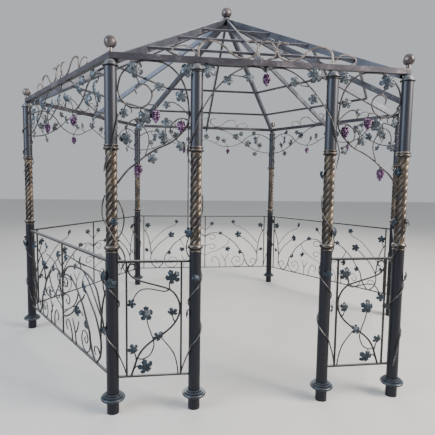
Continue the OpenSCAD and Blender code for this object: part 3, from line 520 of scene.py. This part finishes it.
# Vine leaves: pressed from 3 mm sheet, veins chased in, edges curled, painted blue-grey and
# brushed so that the veins and teeth show lighter. Each is tack-welded to the tip of a stem.
LEAF_REACH = 0.062
LEAF_OUTLINE = ((0, 1.0), (13, 0.88), (26, 0.86), (36, 0.46), (46, 0.84), (59, 0.87), (72, 0.98),
                (86, 0.86), (98, 0.82), (108, 0.46), (118, 0.82), (130, 0.85), (143, 0.92), (157, 0.8),
                (168, 0.72), (180, 0.3))
VEINS = (0, 72, 143)
VEIN_LIFT, LOBE_LIFT, LEAF_CURL, LEAF_SHEET, HUB_REACH = 0.07, 0.2, 0.32, 0.045, 0.04


def pressed_leaf():
    """One leaf of unit reach in the XY plane, tip along +X, as a closed sheet with curled lobes."""
    outline = LEAF_OUTLINE + tuple((-angle, reach) for angle, reach in reversed(LEAF_OUTLINE[1:-1]))
    shape, veins = bmesh.new(), []

    def corner(angle, reach, lift, vein):
        a = math.radians(angle)
        veins.append(vein)
        return shape.verts.new((reach * math.cos(a), reach * math.sin(a), lift))

    def ring(share, drop):
        made = []
        for angle, reach in outline:
            on_vein = abs(angle) in VEINS
            lift = (VEIN_LIFT if on_vein else LOBE_LIFT) * share * (1.25 - share) * 2
            lift -= LEAF_CURL * (reach * share) ** 2
            made.append(corner(angle, reach * share, lift - drop, 1.0 if on_vein else 0.0))
        return made

    hub = corner(180, HUB_REACH, 0.02, 1.0)
    middle, rim, back = ring(0.5, 0), ring(1.0, 0), ring(1.0, LEAF_SHEET)
    under = corner(180, HUB_REACH, -0.06, 0.0)
    for i in range(len(outline)):
        j = (i + 1) % len(outline)
        shape.faces.new((hub, middle[i], middle[j]))
        shape.faces.new((middle[i], rim[i], rim[j], middle[j]))
        shape.faces.new((rim[i], back[i], back[j], rim[j]))
        shape.faces.new((under, back[j], back[i]))
    mesh = meshed("pressed_leaf", shape)
    mesh.attributes.new("vein", "FLOAT", "POINT").data.foreach_set("value", veins)
    return mesh


leaf_pattern = bpy.data.objects.new("pressed_leaf", pressed_leaf())

leaf_tree, given, taken = forge_tree("vine leaves", ("Pressed leaf", "Object", None))
cut = node(leaf_tree, "GeometryNodeObjectInfo", {"Object": given["Pressed leaf"]})
facing = node(leaf_tree, "FunctionNodeEulerToRotation", {0: named(leaf_tree, "turned", "FLOAT_VECTOR")})
end_tree(given, taken, node(leaf_tree, "GeometryNodeInstanceOnPoints",
                            {"Points": given["Geometry"], "Instance": cut.outputs["Geometry"],
                             "Rotation": facing, "Scale": named(leaf_tree, "size")}))

leaf_patina = metal_finish("blue_grey_leaf_patina", (0.045, 0.056, 0.069), (0.14, 0.163, 0.186),
                           (0.018, 0.023, 0.03), 0.38, 0.4, 0.42, scale=30, bump=0.3)
mix_wear_and_shade(leaf_patina, "vein", 0.75, 1.0, (0.22, 0.255, 0.27), 0.6)
# A darker copy of the leaf patina for the low panels and the post vines: painted shade.
leaf_patina_painted_shade = metal_finish("leaf_patina_painted_shade", (0.014, 0.024, 0.037), (0.056, 0.083, 0.112),
                                (0.007, 0.01, 0.013), 0.3, 0.4, 0.4, scale=30, bump=0.3)
mix_wear_and_shade(leaf_patina_painted_shade, "vein", 0.75, 1.0, (0.1, 0.135, 0.14), 0.5)

# Low panels: a flat handrail and a bottom rail welded between two posts, with square uprights,
# and a grapevine forged from tapered rod in the field between them.
RAIL_LOW_Z, RAIL_TOP_Z, TOP_RAIL, LOW_RAIL = 0.262, 1.116, (0.040, 0.015), (0.024, 0.012)
UPRIGHT_W, UPRIGHT_GAP, UPRIGHT_LAP, BAR_EDGE = 0.014, 0.056, 0.004, 0.0022
VINE_R, STEM_R, LOW_STOUT, LEFT_STOUT, BOW_SPAN = 0.0064, 0.0043, 1.22, 1.4, 1.4
VINE_TIP_R, STEM_TIP_R = STEM_R * 1.15, STEM_R * 0.8
FIELD_Z = RAIL_LOW_Z + LOW_RAIL[1]
FIELD_H = RAIL_TOP_Z - FIELD_Z


def panel_bars(name, place, width, uprights):
    """Rails from post to post and the uprights between them, with their edges eased by a file."""
    bars = []
    for z, (deep, high) in ((RAIL_TOP_Z, TOP_RAIL), (RAIL_LOW_Z, LOW_RAIL)):
        clear = width - 2 * math.sqrt(POST_R ** 2 - (deep / 2) ** 2)
        bars.append(((0, 0, z + high / 2), (clear, deep, high)))
    for x in uprights:
        bars.append(((x, 0, (RAIL_TOP_Z + FIELD_Z) / 2), (UPRIGHT_W, UPRIGHT_W, FIELD_H + UPRIGHT_LAP)))
    shape = bmesh.new()
    for centre, size in bars:
        at = place @ Matrix.Translation(centre) @ Matrix.Diagonal((*size, 1))
        bmesh.ops.create_cube(shape, size=1, matrix=at)
    bmesh.ops.bevel(shape, geom=shape.edges[:], offset=BAR_EDGE, segments=2, affect="EDGES", clamp_overlap=True)
    finish_piece(name + "_bars", meshed(name, shape), panel_iron, [name], smooth=False)


def sprays(work, spots, vines, stems, leaves, bulge=0.008, stout=1.12):
    """Draws a pattern of rods and leaves. spots turns shares into a place in the side's frame,
    and the thin stems bow out of the plane between their ends."""
    for i, keys in enumerate(vines + stems):
        thin = i >= len(vines)
        root, tip = (STEM_R, STEM_TIP_R) if thin else (VINE_R, VINE_TIP_R)
        path = smooth_path([spots(u, v) for u, v in keys])
        bow = bulge * work.dice.choice((-1, 1, 1)) if thin else 0.0
        for j, point in enumerate(path):
            point.y -= bow * math.sin(math.pi * min(1, j / (len(path) - 1) * BOW_SPAN) / BOW_SPAN)
        work.rod(path, root * stout, tip * stout)
    for u, v, share, turn in leaves:
        at = spots(u, v)
        flipped = spots(u + 0.01, v).x < at.x
        work.leaf(at, share * LEAF_REACH, 180 - turn if flipped else turn)


NARROW_VINES = (
    ((0.08, -0.01), (0.14, 0.08), (0.21, 0.17), (0.31, 0.24), (0.48, 0.31), (0.67, 0.365), (0.85, 0.44),
     (0.95, 0.52), (0.975, 0.59), (0.95, 0.66), (0.87, 0.725), (0.76, 0.765), (0.57, 0.795), (0.38, 0.82),
     (0.22, 0.845), (0.1, 0.875), (0.035, 0.92), (0.03, 0.955), (0.07, 0.985), (0.15, 0.98), (0.17, 0.95),
     (0.11, 0.935)),)
NARROW_STEMS = (
    ((0.95, -0.01), (0.92, 0.1), (0.86, 0.19), (0.76, 0.26), (0.62, 0.34)),
    ((0.19, 0.155), (0.29, 0.145), (0.42, 0.18), (0.49, 0.25), (0.49, 0.31), (0.44, 0.38), (0.39, 0.45),
     (0.36, 0.53)),
    ((0.78, 0.76), (0.7, 0.745), (0.58, 0.755), (0.42, 0.77), (0.28, 0.765), (0.18, 0.73), (0.1, 0.66)),
    ((0.79, 0.76), (0.78, 0.81), (0.83, 0.85)),
    ((0.88, 0.47), (0.85, 0.5), (0.84, 0.545)),
    ((0.17, 0.13), (0.16, 0.17), (0.12, 0.225)),
    ((0.1, 0.03), (0.18, 0.085), (0.3, 0.07)),
    ((0.7, 0.37), (0.64, 0.37), (0.59, 0.35)))
NARROW_LEAVES = ((0.84, 0.865, 1, 110), (0.09, 0.645, 0.62, 200), (0.36, 0.55, 1, 95), (0.84, 0.555, 0.66, 100),
                 (0.58, 0.345, 0.68, 260), (0.12, 0.235, 0.7, 120), (0.34, 0.07, 1.05, 10))
narrow_w = SIDE / 2 - DOOR_W / 2
narrow_clear = narrow_w - 2 * POST_R - 2 * UPRIGHT_GAP
for s, door_side in ((-1, "left"), (1, "right")):
    name = "low_panel_door_" + door_side
    place = on_side(0, s * (DOOR_W / 2 + narrow_w / 2))
    panel_bars(name, place, narrow_w, (-narrow_clear / 2, narrow_clear / 2))
    work = Ironwork(place, 10 + s)
    sprays(work, lambda u, v: Vector((-s * (u - 0.5) * narrow_clear, 0, FIELD_Z + v * FIELD_H)),
           NARROW_VINES, NARROW_STEMS, NARROW_LEAVES, stout=LOW_STOUT)
    work.finish(name, panel_iron, leaf_patina_painted_shade, sides=10)

LONG_VINES = (
    ((0.77, -0.01), (0.71, 0.06), (0.67, 0.15), (0.65, 0.24), (0.58, 0.35), (0.51, 0.46), (0.43, 0.54),
     (0.35, 0.61), (0.26, 0.66), (0.16, 0.68), (0.08, 0.67), (0, 0.62)),
    ((0.79, -0.01), (0.85, 0.05), (0.88, 0.11), (0.89, 0.19), (0.88, 0.26), (0.85, 0.33), (0.78, 0.44), (0.7, 0.52),
     (0.58, 0.63)),
    ((0.88, 0.26), (0.9, 0.44), (0.93, 0.6), (1, 0.76)))
LONG_STEMS = (
    ((0.9, 0.46), (0.85, 0.53), (0.78, 0.62), (0.68, 0.73), (0.59, 0.79), (0.5, 0.83), (0.47, 0.89)),
    ((0.41, 0.56), (0.38, 0.47), (0.3, 0.39), (0.18, 0.32), (0.09, 0.29), (0, 0.23)),
    ((0, 0.6), (0.07, 0.64), (0.14, 0.64), (0.17, 0.6), (0.14, 0.55), (0.09, 0.56), (0.08, 0.59)),
    ((0, 0.41), (0.07, 0.45), (0.14, 0.45), (0.17, 0.41), (0.14, 0.36), (0.09, 0.37), (0.08, 0.4)),
    ((0.25, -0.01), (0.24, 0.11), (0.18, 0.2), (0.12, 0.17), (0.12, 0.11), (0.16, 0.09)),
    ((0.35, -0.01), (0.34, 0.12), (0.27, 0.25)),
    ((0.34, 0.12), (0.37, 0.2), (0.4, 0.26)),
    ((0.67, 0.15), (0.65, 0.07), (0.61, 0.02), (0.54, 0), (0.48, 0.04), (0.455, 0.11), (0.49, 0.19), (0.56, 0.2),
     (0.6, 0.14), (0.57, 0.09), (0.53, 0.11), (0.54, 0.15)),
    ((0.88, 0.09), (0.84, 0.15), (0.79, 0.15), (0.77, 0.1), (0.8, 0.07)),
    ((0.97, 0.7), (0.96, 0.76), (0.94, 0.82)),
    ((0.885, 0.3), (0.94, 0.345)),
    ((0, 0.74), (0.06, 0.79), (0.11, 0.85)),
    ((0.3, 0.39), (0.37, 0.36)),
    ((0.64, 0.26), (0.6, 0.285)))
LONG_LEAVES = ((0.94, 0.83, 0.82, 100), (0.56, 0.64, 1, 150), (0.26, 0.67, 0.62, 80), (0.38, 0.36, 0.8, 280),
               (0.59, 0.29, 0.66, 200), (0.95, 0.35, 0.62, 30), (0.47, 0.9, 0.62, 120), (0.11, 0.86, 0.62, 60))
LEFT_LOW_VINES = (
    ((0, 0.56), (0.05, 0.68), (0.15, 0.765), (0.27, 0.8), (0.4, 0.815), (0.53, 0.81), (0.65, 0.79), (0.74, 0.75),
     (0.82, 0.68), (0.89, 0.52), (0.95, 0.38)),
    ((0, 0.2), (0.09, 0.215), (0.25, 0.3), (0.34, 0.39), (0.42, 0.465), (0.5, 0.515), (0.56, 0.58)))
LEFT_LOW_STEMS = {
    1: (((0, 0.22), (0.05, 0.25), (0.18, 0.33), (0.28, 0.375), (0.38, 0.385), (0.45, 0.37), (0.5, 0.34)),
        ((0, 0.9), (0.5, 0.88), (1, 0.885))),
    -1: (((0.02, 0.36), (0.06, 0.45), (0.1, 0.6), (0.17, 0.68), (0.26, 0.745), (0.4, 0.78), (0.52, 0.79)),)}
end_x = SIDE / 2 - POST_R - UPRIGHT_GAP
for k in range(1, 6):
    name = "low_panel_" + SIDES[k]
    panel_bars(name, on_side(k), SIDE, (-end_x, 0, end_x))
    work = Ironwork(on_side(k), 20 + k)
    for s in (-1, 1):
        vines, stems, stout = LONG_VINES, LONG_STEMS, LOW_STOUT
        if k == 5:
            vines, stems, stout = vines + (LEFT_LOW_VINES if s > 0 else ()), stems + LEFT_LOW_STEMS[s], LEFT_STOUT
        sprays(work, lambda u, v: Vector((s * u * end_x, 0, FIELD_Z + v * FIELD_H)), vines, stems, LONG_LEAVES,
               stout=stout)
    work.finish(name, panel_iron, leaf_patina_painted_shade)

# Spandrels: vines that hang under the beams. A narrow bay's vine leaves the corner post's
# shaft, climbs beside the door post and ends in a coil; a long side has waves and arcs.
BEAM_Z, DROP_H = 2.535, 0.581
STALK_DROPS, STALK_LEAF_DROP = (0, 0.05, 0.11, 0.162), DROP_H * 0.2
COIL_VINES = (
    ((1.01, 1.47), (0.87, 1.31), (0.76, 1.23), (0.62, 1.13), (0.46, 1.04), (0.27, 0.96), (0.14, 0.86), (0.05, 0.76),
     (0.02, 0.65), (0.03, 0.49), (0.06, 0.34), (0.13, 0.2), (0.25, 0.08), (0.38, 0.02), (0.53, 0.006),
     (0.69, 0.014), (0.83, 0.07), (0.94, 0.17), (0.985, 0.29), (0.98, 0.4), (0.93, 0.49), (0.83, 0.55),
     (0.71, 0.56), (0.6, 0.52), (0.54, 0.44), (0.54, 0.36), (0.61, 0.29), (0.7, 0.28), (0.76, 0.33), (0.74, 0.4)),)
COIL_STEMS = (
    ((0.03, 0.62), (0.14, 0.53), (0.25, 0.48), (0.33, 0.51)),
    ((0.03, 0.68), (0.12, 0.665), (0.2, 0.69), (0.27, 0.76), (0.27, 0.85), (0.22, 0.9), (0.18, 0.88)),
    ((0.89, 0.53), (0.81, 0.58), (0.82, 0.63)),
    ((0.6, 0.52), (0.54, 0.52), (0.48, 0.53), (0.48, 0.59)),
    ((0.65, 0.545), (0.62, 0.6)),
    ((0.13, 0.665), (0.13, 0.7)),
    ((0.89, 0.53), (0.91, 0.58), (0.915, 0.61)),
    ((0.34, 0.9), (0.38, 0.88)),
    ((0.72, 1.2), (0.72, 1.28)),
    ((0.68, 0.56), (0.7, 0.65), (0.72, 0.72), (0.64, 0.79), (0.58, 0.89), (0.58, 1), (0.63, 1.13)),
    ((0.7, 0.7), (0.8, 0.71), (0.87, 0.78), (0.885, 0.91)),
    ((0.3, 0.97), (0.35, 0.84), (0.33, 0.75)),
    ((0.2, 0.9), (0.17, 0.95), (0.13, 0.99)),
    ((0.7, 0.28), (0.74, 0.2), (0.75, 0.13)),
    ((0.05, 0.42), (0.13, 0.4)))
COIL_LEAVES = ((0.75, 0.115, 1, 60), (0.13, 0.4, 0.75, 300), (0.614, 0.656, 0.95, 250), (0.33, 0.73, 0.7, 80),
               (0.915, 0.628, 0.62, 300), (0.39, 0.88, 0.6, 20),
               (0.13, 1, 0.62, 220), (0.7, 0.77, 0.62, 350), (0.885, 0.93, 0.8, 280), (0.33, 0.51, 0.5, 340))
LEFT_STEMS = (((0.54, 0.38), (0.5, 0.34), (0.45, 0.31)), ((0.56, 1.1), (0.53, 1.15)))
LEFT_LEAVES = ((0.43, 0.3, 0.62, 160), (0.53, 1.165, 0.62, 260))
bay_x = DOOR_W / 2 + POST_R
bay_w = SIDE / 2 - DOOR_W / 2 - 2 * POST_R
for s, door_side in ((-1, "left"), (1, "right")):
    name = "spandrel_narrow_" + door_side
    work = Ironwork(on_side(0), 30 + s)
    sprays(work, lambda u, v: Vector((s * (bay_x + u * bay_w), 0, BEAM_Z - v * DROP_H)), COIL_VINES,
           COIL_STEMS + (LEFT_STEMS if s < 0 else ()), COIL_LEAVES + (LEFT_LEAVES if s < 0 else ()), bulge=0.012)
    work.finish(name, forged_iron, leaf_patina)

WAVE_VINES = (
    ((1.01, 0.62), (0.9, 0.6), (0.8, 0.56), (0.69, 0.47), (0.59, 0.37), (0.45, 0.19), (0.31, 0.04), (0.2, 0.005)),
    ((1.01, 0.24), (0.91, 0.14), (0.83, 0.1), (0.75, 0.11), (0.64, 0.19), (0.55, 0.34), (0.44, 0.43), (0.34, 0.46),
     (0.24, 0.45), (0.12, 0.36), (0, 0.27)))
WAVE_STEMS = (
    ((0.83, 0.1), (0.83, 0.16), (0.79, 0.21)),
    ((0.6, 0.25), (0.62, 0.31), (0.65, 0.35)),
    ((0.45, 0.19), (0.5, 0.14), (0.54, 0.1)),
    ((0.81, 0.565), (0.84, 0.48), (0.85, 0.41)),
    ((0.8, 0.56), (0.78, 0.6), (0.77, 0.64)),
    ((0.14, 0.37), (0.19, 0.31), (0.18, 0.24)),
    ((0.34, 0.46), (0.3, 0.38), (0.275, 0.31)),
    ((0.83, 0.5), (0.81, 0.42), (0.79, 0.35)),
    ((0.34, 0.45), (0.34, 0.53)))
WAVE_LEAVES = ((0.46, 0.186, 0.95, 40), (0.274, 0.294, 0.66, 110), (0.748, 0.08, 0.66, 70),
               (0.785, 0.327, 0.6, 120), (0.78, 0.22, 0.72, 250), (0.65, 0.36, 1, 280),
               (0.54, 0.1, 0.7, 60), (0.85, 0.4, 0.7, 80), (0.77, 0.64, 0.7, 290), (0.18, 0.24, 0.72, 100))
long_half = SIDE / 2 - POST_R
for k in range(1, 6):
    name = "spandrel_" + SIDES[k]
    work = Ironwork(on_side(k), 40 + k)
    for s in (-1, 1):
        sprays(work, lambda u, v: Vector((s * u * long_half, 0, BEAM_Z - v * DROP_H)), WAVE_VINES, WAVE_STEMS,
               WAVE_LEAVES)
    work.rod([Vector((0, 0, BEAM_Z - drop)) for drop in STALK_DROPS], STEM_R, STEM_R)
    work.leaf((0, 0, BEAM_Z - STALK_LEAF_DROP), 0.8 * LEAF_REACH, 270)
    work.finish(name, forged_iron, leaf_patina)

# Door arch: a round rod from the middle of the beam that sweeps across the front of each door
# post, leans round it and ends beside its twisted shaft, with leafy side shoots.
ARM_HEAD = ((0.02, 0.03), (0.1, 0.008), (0.2, 0), (0.3, 0.012), (0.42, 0.055), (0.55, 0.13), (0.68, 0.24),
            (0.8, 0.37))
ARM_FOOT = ((115, 0.002, 0.61), (75, 0.002, 0.8), (40, 0.004, 0.92), (14, 0.017, 1.04), (14, 0.008, 1.15),
            (42, 0.002, 1.24))
WINDER_R, HEAD_RING_Z, RING_STEP = 0.0055, 2.473, 15
arm_near, head_ring_r = POST_R + WINDER_R, POST_R + STEM_R
ARM_SHOOTS = {
    1: (((0.346, -0.022, 2.384), (0.316, -0.022, 2.404), (0.262, -0.016, 2.41), (0.246, -0.012, 2.43),
         (0.29, -0.01, 2.442)),
        ((0.25, -0.014, 2.42), (0.225, -0.014, 2.43), (0.212, -0.014, 2.436)),
        ((0.297, -0.01, 2.436), (0.325, -0.02, 2.456), (0.355, -0.024, 2.482)),
        ((0.455, -0.006, 2.473), (0.425, -0.02, 2.477), (0.375, -0.024, 2.485)),
        ((0.36, -0.03, 2.37), (0.356, -0.028, 2.34), (0.35, -0.026, 2.322)),
        ((0.553, -0.006, 2.473), (0.566, -0.018, 2.476), (0.582, -0.024, 2.478))),
    -1: (((-0.264, -0.004, 2.468), (-0.244, -0.01, 2.462), (-0.183, -0.01, 2.456), (-0.156, -0.008, 2.468)),
         ((-0.183, -0.01, 2.456), (-0.15, -0.012, 2.446), (-0.132, -0.012, 2.45)),
         ((-0.295, -0.012, 2.436), (-0.292, -0.014, 2.434), (-0.286, -0.014, 2.428)),
         ((-0.455, -0.006, 2.473), (-0.445, -0.018, 2.477), (-0.428, -0.026, 2.486)),
         ((-0.553, -0.006, 2.473), (-0.562, -0.018, 2.476), (-0.572, -0.026, 2.48)))}
ARM_LEAVES = {
    1: ((0.363, -0.028, 2.487, 1.0, 190), (0.209, -0.016, 2.436, 0.66, 190), (0.348, -0.03, 2.316, 0.66, 250),
        (0.588, -0.028, 2.477, 0.8, 340)),
    -1: ((-0.425, -0.03, 2.487, 1.0, 350), (-0.283, -0.018, 2.43, 0.7, 300), (-0.129, -0.016, 2.452, 0.68, 10),
         (-0.576, -0.03, 2.48, 0.95, 200))}


def beside(hand, turn, r, z, x=0):
    """A place round a post at x, by degrees from its outer side towards -y; hand -1 mirrors it."""
    a = math.radians(turn)
    return Vector((hand * (x + r * math.cos(a)), -r * math.sin(a), z))


for s, door_side in ((-1, "left"), (1, "right")):
    name = "spandrel_door_" + door_side
    work = Ironwork(on_side(0), 50 + s)
    keys = [Vector((s * x * DOOR_W / 2, -arm_near * (v / ARM_FOOT[0][2]) ** 2, BEAM_Z - DROP_H * v - WINDER_R))
            for x, v in ARM_HEAD]
    keys += [beside(s, turn, arm_near + past, BEAM_Z - DROP_H * v, DOOR_W / 2) for turn, past, v in ARM_FOOT]
    work.rod(smooth_path(keys, 6), WINDER_R, WINDER_R * 0.8)
    work.rod([beside(1, -turn, head_ring_r, HEAD_RING_Z, s * DOOR_W / 2)
              for turn in range(0, 361, RING_STEP)], STEM_R, STEM_R)
    for shoot in ARM_SHOOTS[s]:
        work.rod(smooth_path(shoot), STEM_R * 1.1, STEM_TIP_R)
    for x, y, z, share, turn in ARM_LEAVES[s]:
        work.leaf((x, y, z), share * LEAF_REACH, turn, out=0)
    work.finish(name, forged_iron, leaf_patina)

# Crests: mirrored S-scrolls of tapered rod that stand on each beam and meet at a ring.
BEAM_TOP_Z, CREST_W, CREST_H, CREST_STOUT, CLIP_R, CLIP_REACH = 2.575, 1.38, 0.14, 1.25, 0.0115, 0.012
HOOP_R, HOOP_Z, HOOP_SIDES = CREST_H / 2 * 0.95, BEAM_TOP_Z + CREST_H / 2, 32
CREST_VINES = (
    ((0.72, 0), (0.71, 0.57), (0.65, 0.8), (0.55, 0.84), (0.46, 0.63), (0.36, 0.23), (0.27, 0.07), (0.19, 0.09),
     (0.12, 0.34), (0.1, 0.71), (0.15, 0.96), (0.23, 0.91)),)
CREST_STEMS = (
    ((0.72, 0), (0.8, 0.46), (0.89, 0.52), (0.97, 0.4), (0.98, 0.17), (0.92, 0.04)),)
work = Ironwork(Matrix.Identity(4), 60)
for k in range(6):
    work.place = on_side(k)
    for s in (-1, 1):
        sprays(work, lambda u, v: Vector((s * u * CREST_W / 2, 0, BEAM_TOP_Z + v * CREST_H)), CREST_VINES,
               CREST_STEMS, (), bulge=0, stout=CREST_STOUT)
    hoop = [Vector((HOOP_R * math.cos(a), 0, HOOP_Z + HOOP_R * math.sin(a)))
            for a in (math.tau * i / HOOP_SIDES for i in range(HOOP_SIDES + 1))]
    work.rod(hoop, STEM_R * CREST_STOUT, STEM_R * CREST_STOUT)
    for s in (-1, 1):
        for reach in (-CLIP_REACH, CLIP_REACH):
            clip = [Vector((s * (HOOP_R + STEM_R), 0, HOOP_Z + reach * share)) for share in (0, 0.4, 0.75, 1)]
            work.rod(clip, CLIP_R, CLIP_R)
work.finish("roof_crests", crest_iron)

# Post vines: rods that leave the foot of the uprights, climb across to the posts and wind up
# them. At the doorway they pass outside the lower collars and lie along the twisted shafts.
WINDER_LEAD, WINDER_FIRST, WINDER_STEP, WINDER_STOP, WINDER_PAST = 0.385, 80, 30, 600, 640
WINDER_START = ((0, 0.048, 0.284), (6, 0.037, 0.33), (20, 0.022, 0.39), (36, 0.008, 0.445), (54, 0.0007, 0.492))
WINDER_END = ((650, 0.001, 1.115), (690, 0.008, 1.16), (706, 0.014, 1.195), (712, 0.0145, 1.225),
              (716, 0.012, 1.255), (724, 0.005, 1.28), (740, 0.001, 1.305), (775, 0, 1.345),
              (830, 0, 1.405), (880, 0, 1.475), (900, 0, 1.545), (904, 0, 1.61))
BESIDE_SHAFT = ((-0.045, 0, 2.185), (-0.053, 0, 2.15), (-0.0565, 0, 2.08), (-0.0565, 0, 1.42),
                (-0.053, 0, 1.35), (-0.044, 0, 1.315))
OVER_POST = ((-1.0512, -0.01, 2.16), (-1.056, -0.035, 2.1), (-1.066, -0.053, 2.01), (-1.083, -0.067, 1.935),
             (-1.105, -0.065, 1.885), (-1.136, -0.047, 1.815), (-1.1475, -0.015, 1.765))
HOOK = ((-0.046, 0.01, 1.6), (-0.061, -0.008, 1.54), (-0.058, -0.035, 1.45), (-0.018, -0.0565, 1.37),
        (0.02, -0.063, 1.305), (0.052, -0.059, 1.255), (0.08, -0.048, 1.205), (0.093, -0.038, 1.165),
        (0.09, -0.028, 1.125), (0.076, -0.02, 1.09), (0.06, -0.015, 1.072))
SHAFT_BOW = ((0.045, 0, 1.565), (0.073, 0, 1.5), (0.086, 0, 1.42), (0.07, 0, 1.34), (0.045, 0, 1.3))
HIGH_TOP, HIGH_FOOT, HIGH_START, HIGH_TURN, HIGH_STEPS = 2.33, 1.77, 76, 900, 60
COLLAR_Z, COLLAR_REACH, COLLAR_PROUD = 1.93, 0.055, 0.0165
work = Ironwork(Matrix.Identity(4), 70)


def wrapped_high(hand):
    """Path that winds down an upper pipe, over the collar and on to the twisted shaft."""
    path = []
    for share in (i / HIGH_STEPS for i in range(HIGH_STEPS + 1)):
        z = HIGH_TOP + (HIGH_FOOT - HIGH_TOP) * share
        proud = COLLAR_PROUD * max(0, 1 - (abs(z - COLLAR_Z) / COLLAR_REACH) ** 2)
        path.append(beside(hand, HIGH_TURN * share - HIGH_START, POST_R + WINDER_R + proud, z))
    return smooth_path(path, 2)


def wound(hand, full):
    """Path round a post at the origin, towards -y first; a full one goes on past the collar."""
    start, past, z = WINDER_START[-1]
    turns = range(WINDER_FIRST, WINDER_PAST if full else WINDER_STOP, WINDER_STEP)
    keys = WINDER_START + tuple((turn, past, z + (turn - start) / 360 * WINDER_LEAD) for turn in turns)
    return smooth_path([beside(hand, turn, POST_R + WINDER_R + past, z)
                        for turn, past, z in keys + (WINDER_END if full else ())], 4)


def post_leaf(hand, turn, z, share, tip_turn, out=0.012):
    """A leaf beside a post, facing away from it."""
    at = beside(hand, turn, POST_R + WINDER_R + out, z)
    facing = Matrix.Rotation(math.atan2(at.y, at.x) + math.pi / 2, 4, "Z")
    held = work.place
    work.place = held @ Matrix.Translation(at) @ facing
    work.leaf((0, 0, 0), share * LEAF_REACH, tip_turn, out=0)
    work.place = held


for k in range(6):
    hand = -1 if k == 1 else 1
    work.place = on_side(k, -SIDE / 2)
    work.rod(wound(hand, k == 1), WINDER_R, STEM_R)
    post_leaf(hand, 95, 0.972, 0.8, 90)
    post_leaf(hand, 185, 0.64, 0.62, 60)
    post_leaf(hand, 165, 1.03, 0.7, 80)
    if k < 2:
        post_leaf(hand, 70, 1.415, 0.5, 60)
    else:
        if k < 4:
            work.place = on_side(k - 1, SIDE / 2)
        work.rod(wrapped_high(-1 if k < 4 else 1), WINDER_R * 1.1, STEM_R)
for s in (-1, 1):
    work.place = on_side(0, s * DOOR_W / 2)
    work.rod(wound(s, True), WINDER_R, STEM_R)
    post_leaf(s, 95, 1.01, 0.6, 90)
    post_leaf(s, 12, 0.735, 0.6, 170 if s < 0 else 10)
    post_leaf(s, 30, 1.335, 0.75, 250)
post_leaf(1, 180, 1.764, 0.6, 200)
work.place = on_side(0, -SIDE / 2)
work.rod(smooth_path(SHAFT_BOW), WINDER_R, STEM_R)
work.rod(smooth_path(HOOK), WINDER_R, WINDER_R)
work.place = on_side(0, -DOOR_W / 2)
work.rod(smooth_path(BESIDE_SHAFT), STEM_R, STEM_TIP_R)
work.place = on_side(0)
work.rod(smooth_path(OVER_POST), WINDER_R * 1.15, WINDER_R)
work.place = on_side(0, SIDE / 2)
post_leaf(-1, 15, 1.8, 0.66, 200)
post_leaf(-1, 8, 1.415, 0.6, 200)
work.finish("post_vines", forged_iron, leaf_patina_painted_shade)

# Grape bunches: turned steel balls welded in layers under a stalk, painted violet and brushed.
GRAPE_R, GRAPE_SIZES, GRAPE_STRAY, HANG_GAP, STALK_SUNK = 0.0112, (0.9, 1.04), 0.0015, 0.0006, 0.012
NARROW_STALK, LONG_STALK, DOOR_STALK = 0.007, 0.014, 0.05
bunch_tree, given, taken = forge_tree("grape bunches", ("Grape radius", "Float", 0.012), ("Roundness", "Int", 2))
grape = node(bunch_tree, "GeometryNodeMeshIcoSphere",
             {"Radius": given["Grape radius"], "Subdivisions": given["Roundness"]})
end_tree(given, taken, node(bunch_tree, "GeometryNodeInstanceOnPoints",
                            {"Points": given["Geometry"], "Instance": grape,
                             "Scale": named(bunch_tree, "size")}))
grape_purple = metal_finish("brushed_grape_purple", (0.06, 0.022, 0.066), (0.34, 0.2, 0.34),
                            (0.016, 0.008, 0.02), 0.34, 0.5, 0.22, scale=40, bump=0.15)
GRAPE_LAYERS = ((0, 0.016, 5), (0.015, 0.021, 6), (0.03, 0.02, 6), (0.044, 0.015, 4), (0.057, 0.008, 3),
                (0.069, 0.002, 1))
dice = random.Random(7)
stalks = Ironwork(Matrix.Identity(4), 80)
grapes, grape_sizes = [], []


def hang_bunch(k, x, drop, stalk):
    """A bunch under the point (x, drop) of side k."""
    top = BEAM_Z - drop - stalk - HANG_GAP
    stalks.place = on_side(k)
    stalks.rod([Vector((x, 0, top + stalk * (1 - i / 3) - i / 3 * STALK_SUNK)) for i in range(4)], STEM_R, STEM_R)
    for down, reach, count in GRAPE_LAYERS:
        start = dice.uniform(0, math.tau)
        for i in range(count):
            a = start + math.tau * i / count
            at = Vector((x + reach * math.cos(a), reach * math.sin(a), top - GRAPE_R - down))
            stray = Vector([dice.uniform(-GRAPE_STRAY, GRAPE_STRAY) for _ in "xyz"])
            grapes.append(on_side(k) @ (at + stray))
            grape_sizes.append(dice.uniform(*GRAPE_SIZES))


for s in (-1, 1):
    for u, v in ((0.48, 0.57), (0.13, 0.685), (0.72, 1.222)):
        hang_bunch(0, s * (bay_x + bay_w * u), DROP_H * v, NARROW_STALK)
hang_bunch(0, 0, 0, DOOR_STALK)
for k in range(1, 6):
    for s in (-1, 1):
        hang_bunch(k, s * long_half * 0.34, DROP_H * 0.5, LONG_STALK)
bunches = grown("grape_bunches", points_mesh("grapes", grapes, size=grape_sizes), bunch_tree, grape_purple,
                grape_radius=GRAPE_R, roundness=2)
finish_piece("grape_bunches_balls", bunches, grape_purple, ["grape_bunches"])
stalks.finish("grape_stalks", forged_iron, nodes=["grape_bunches"])
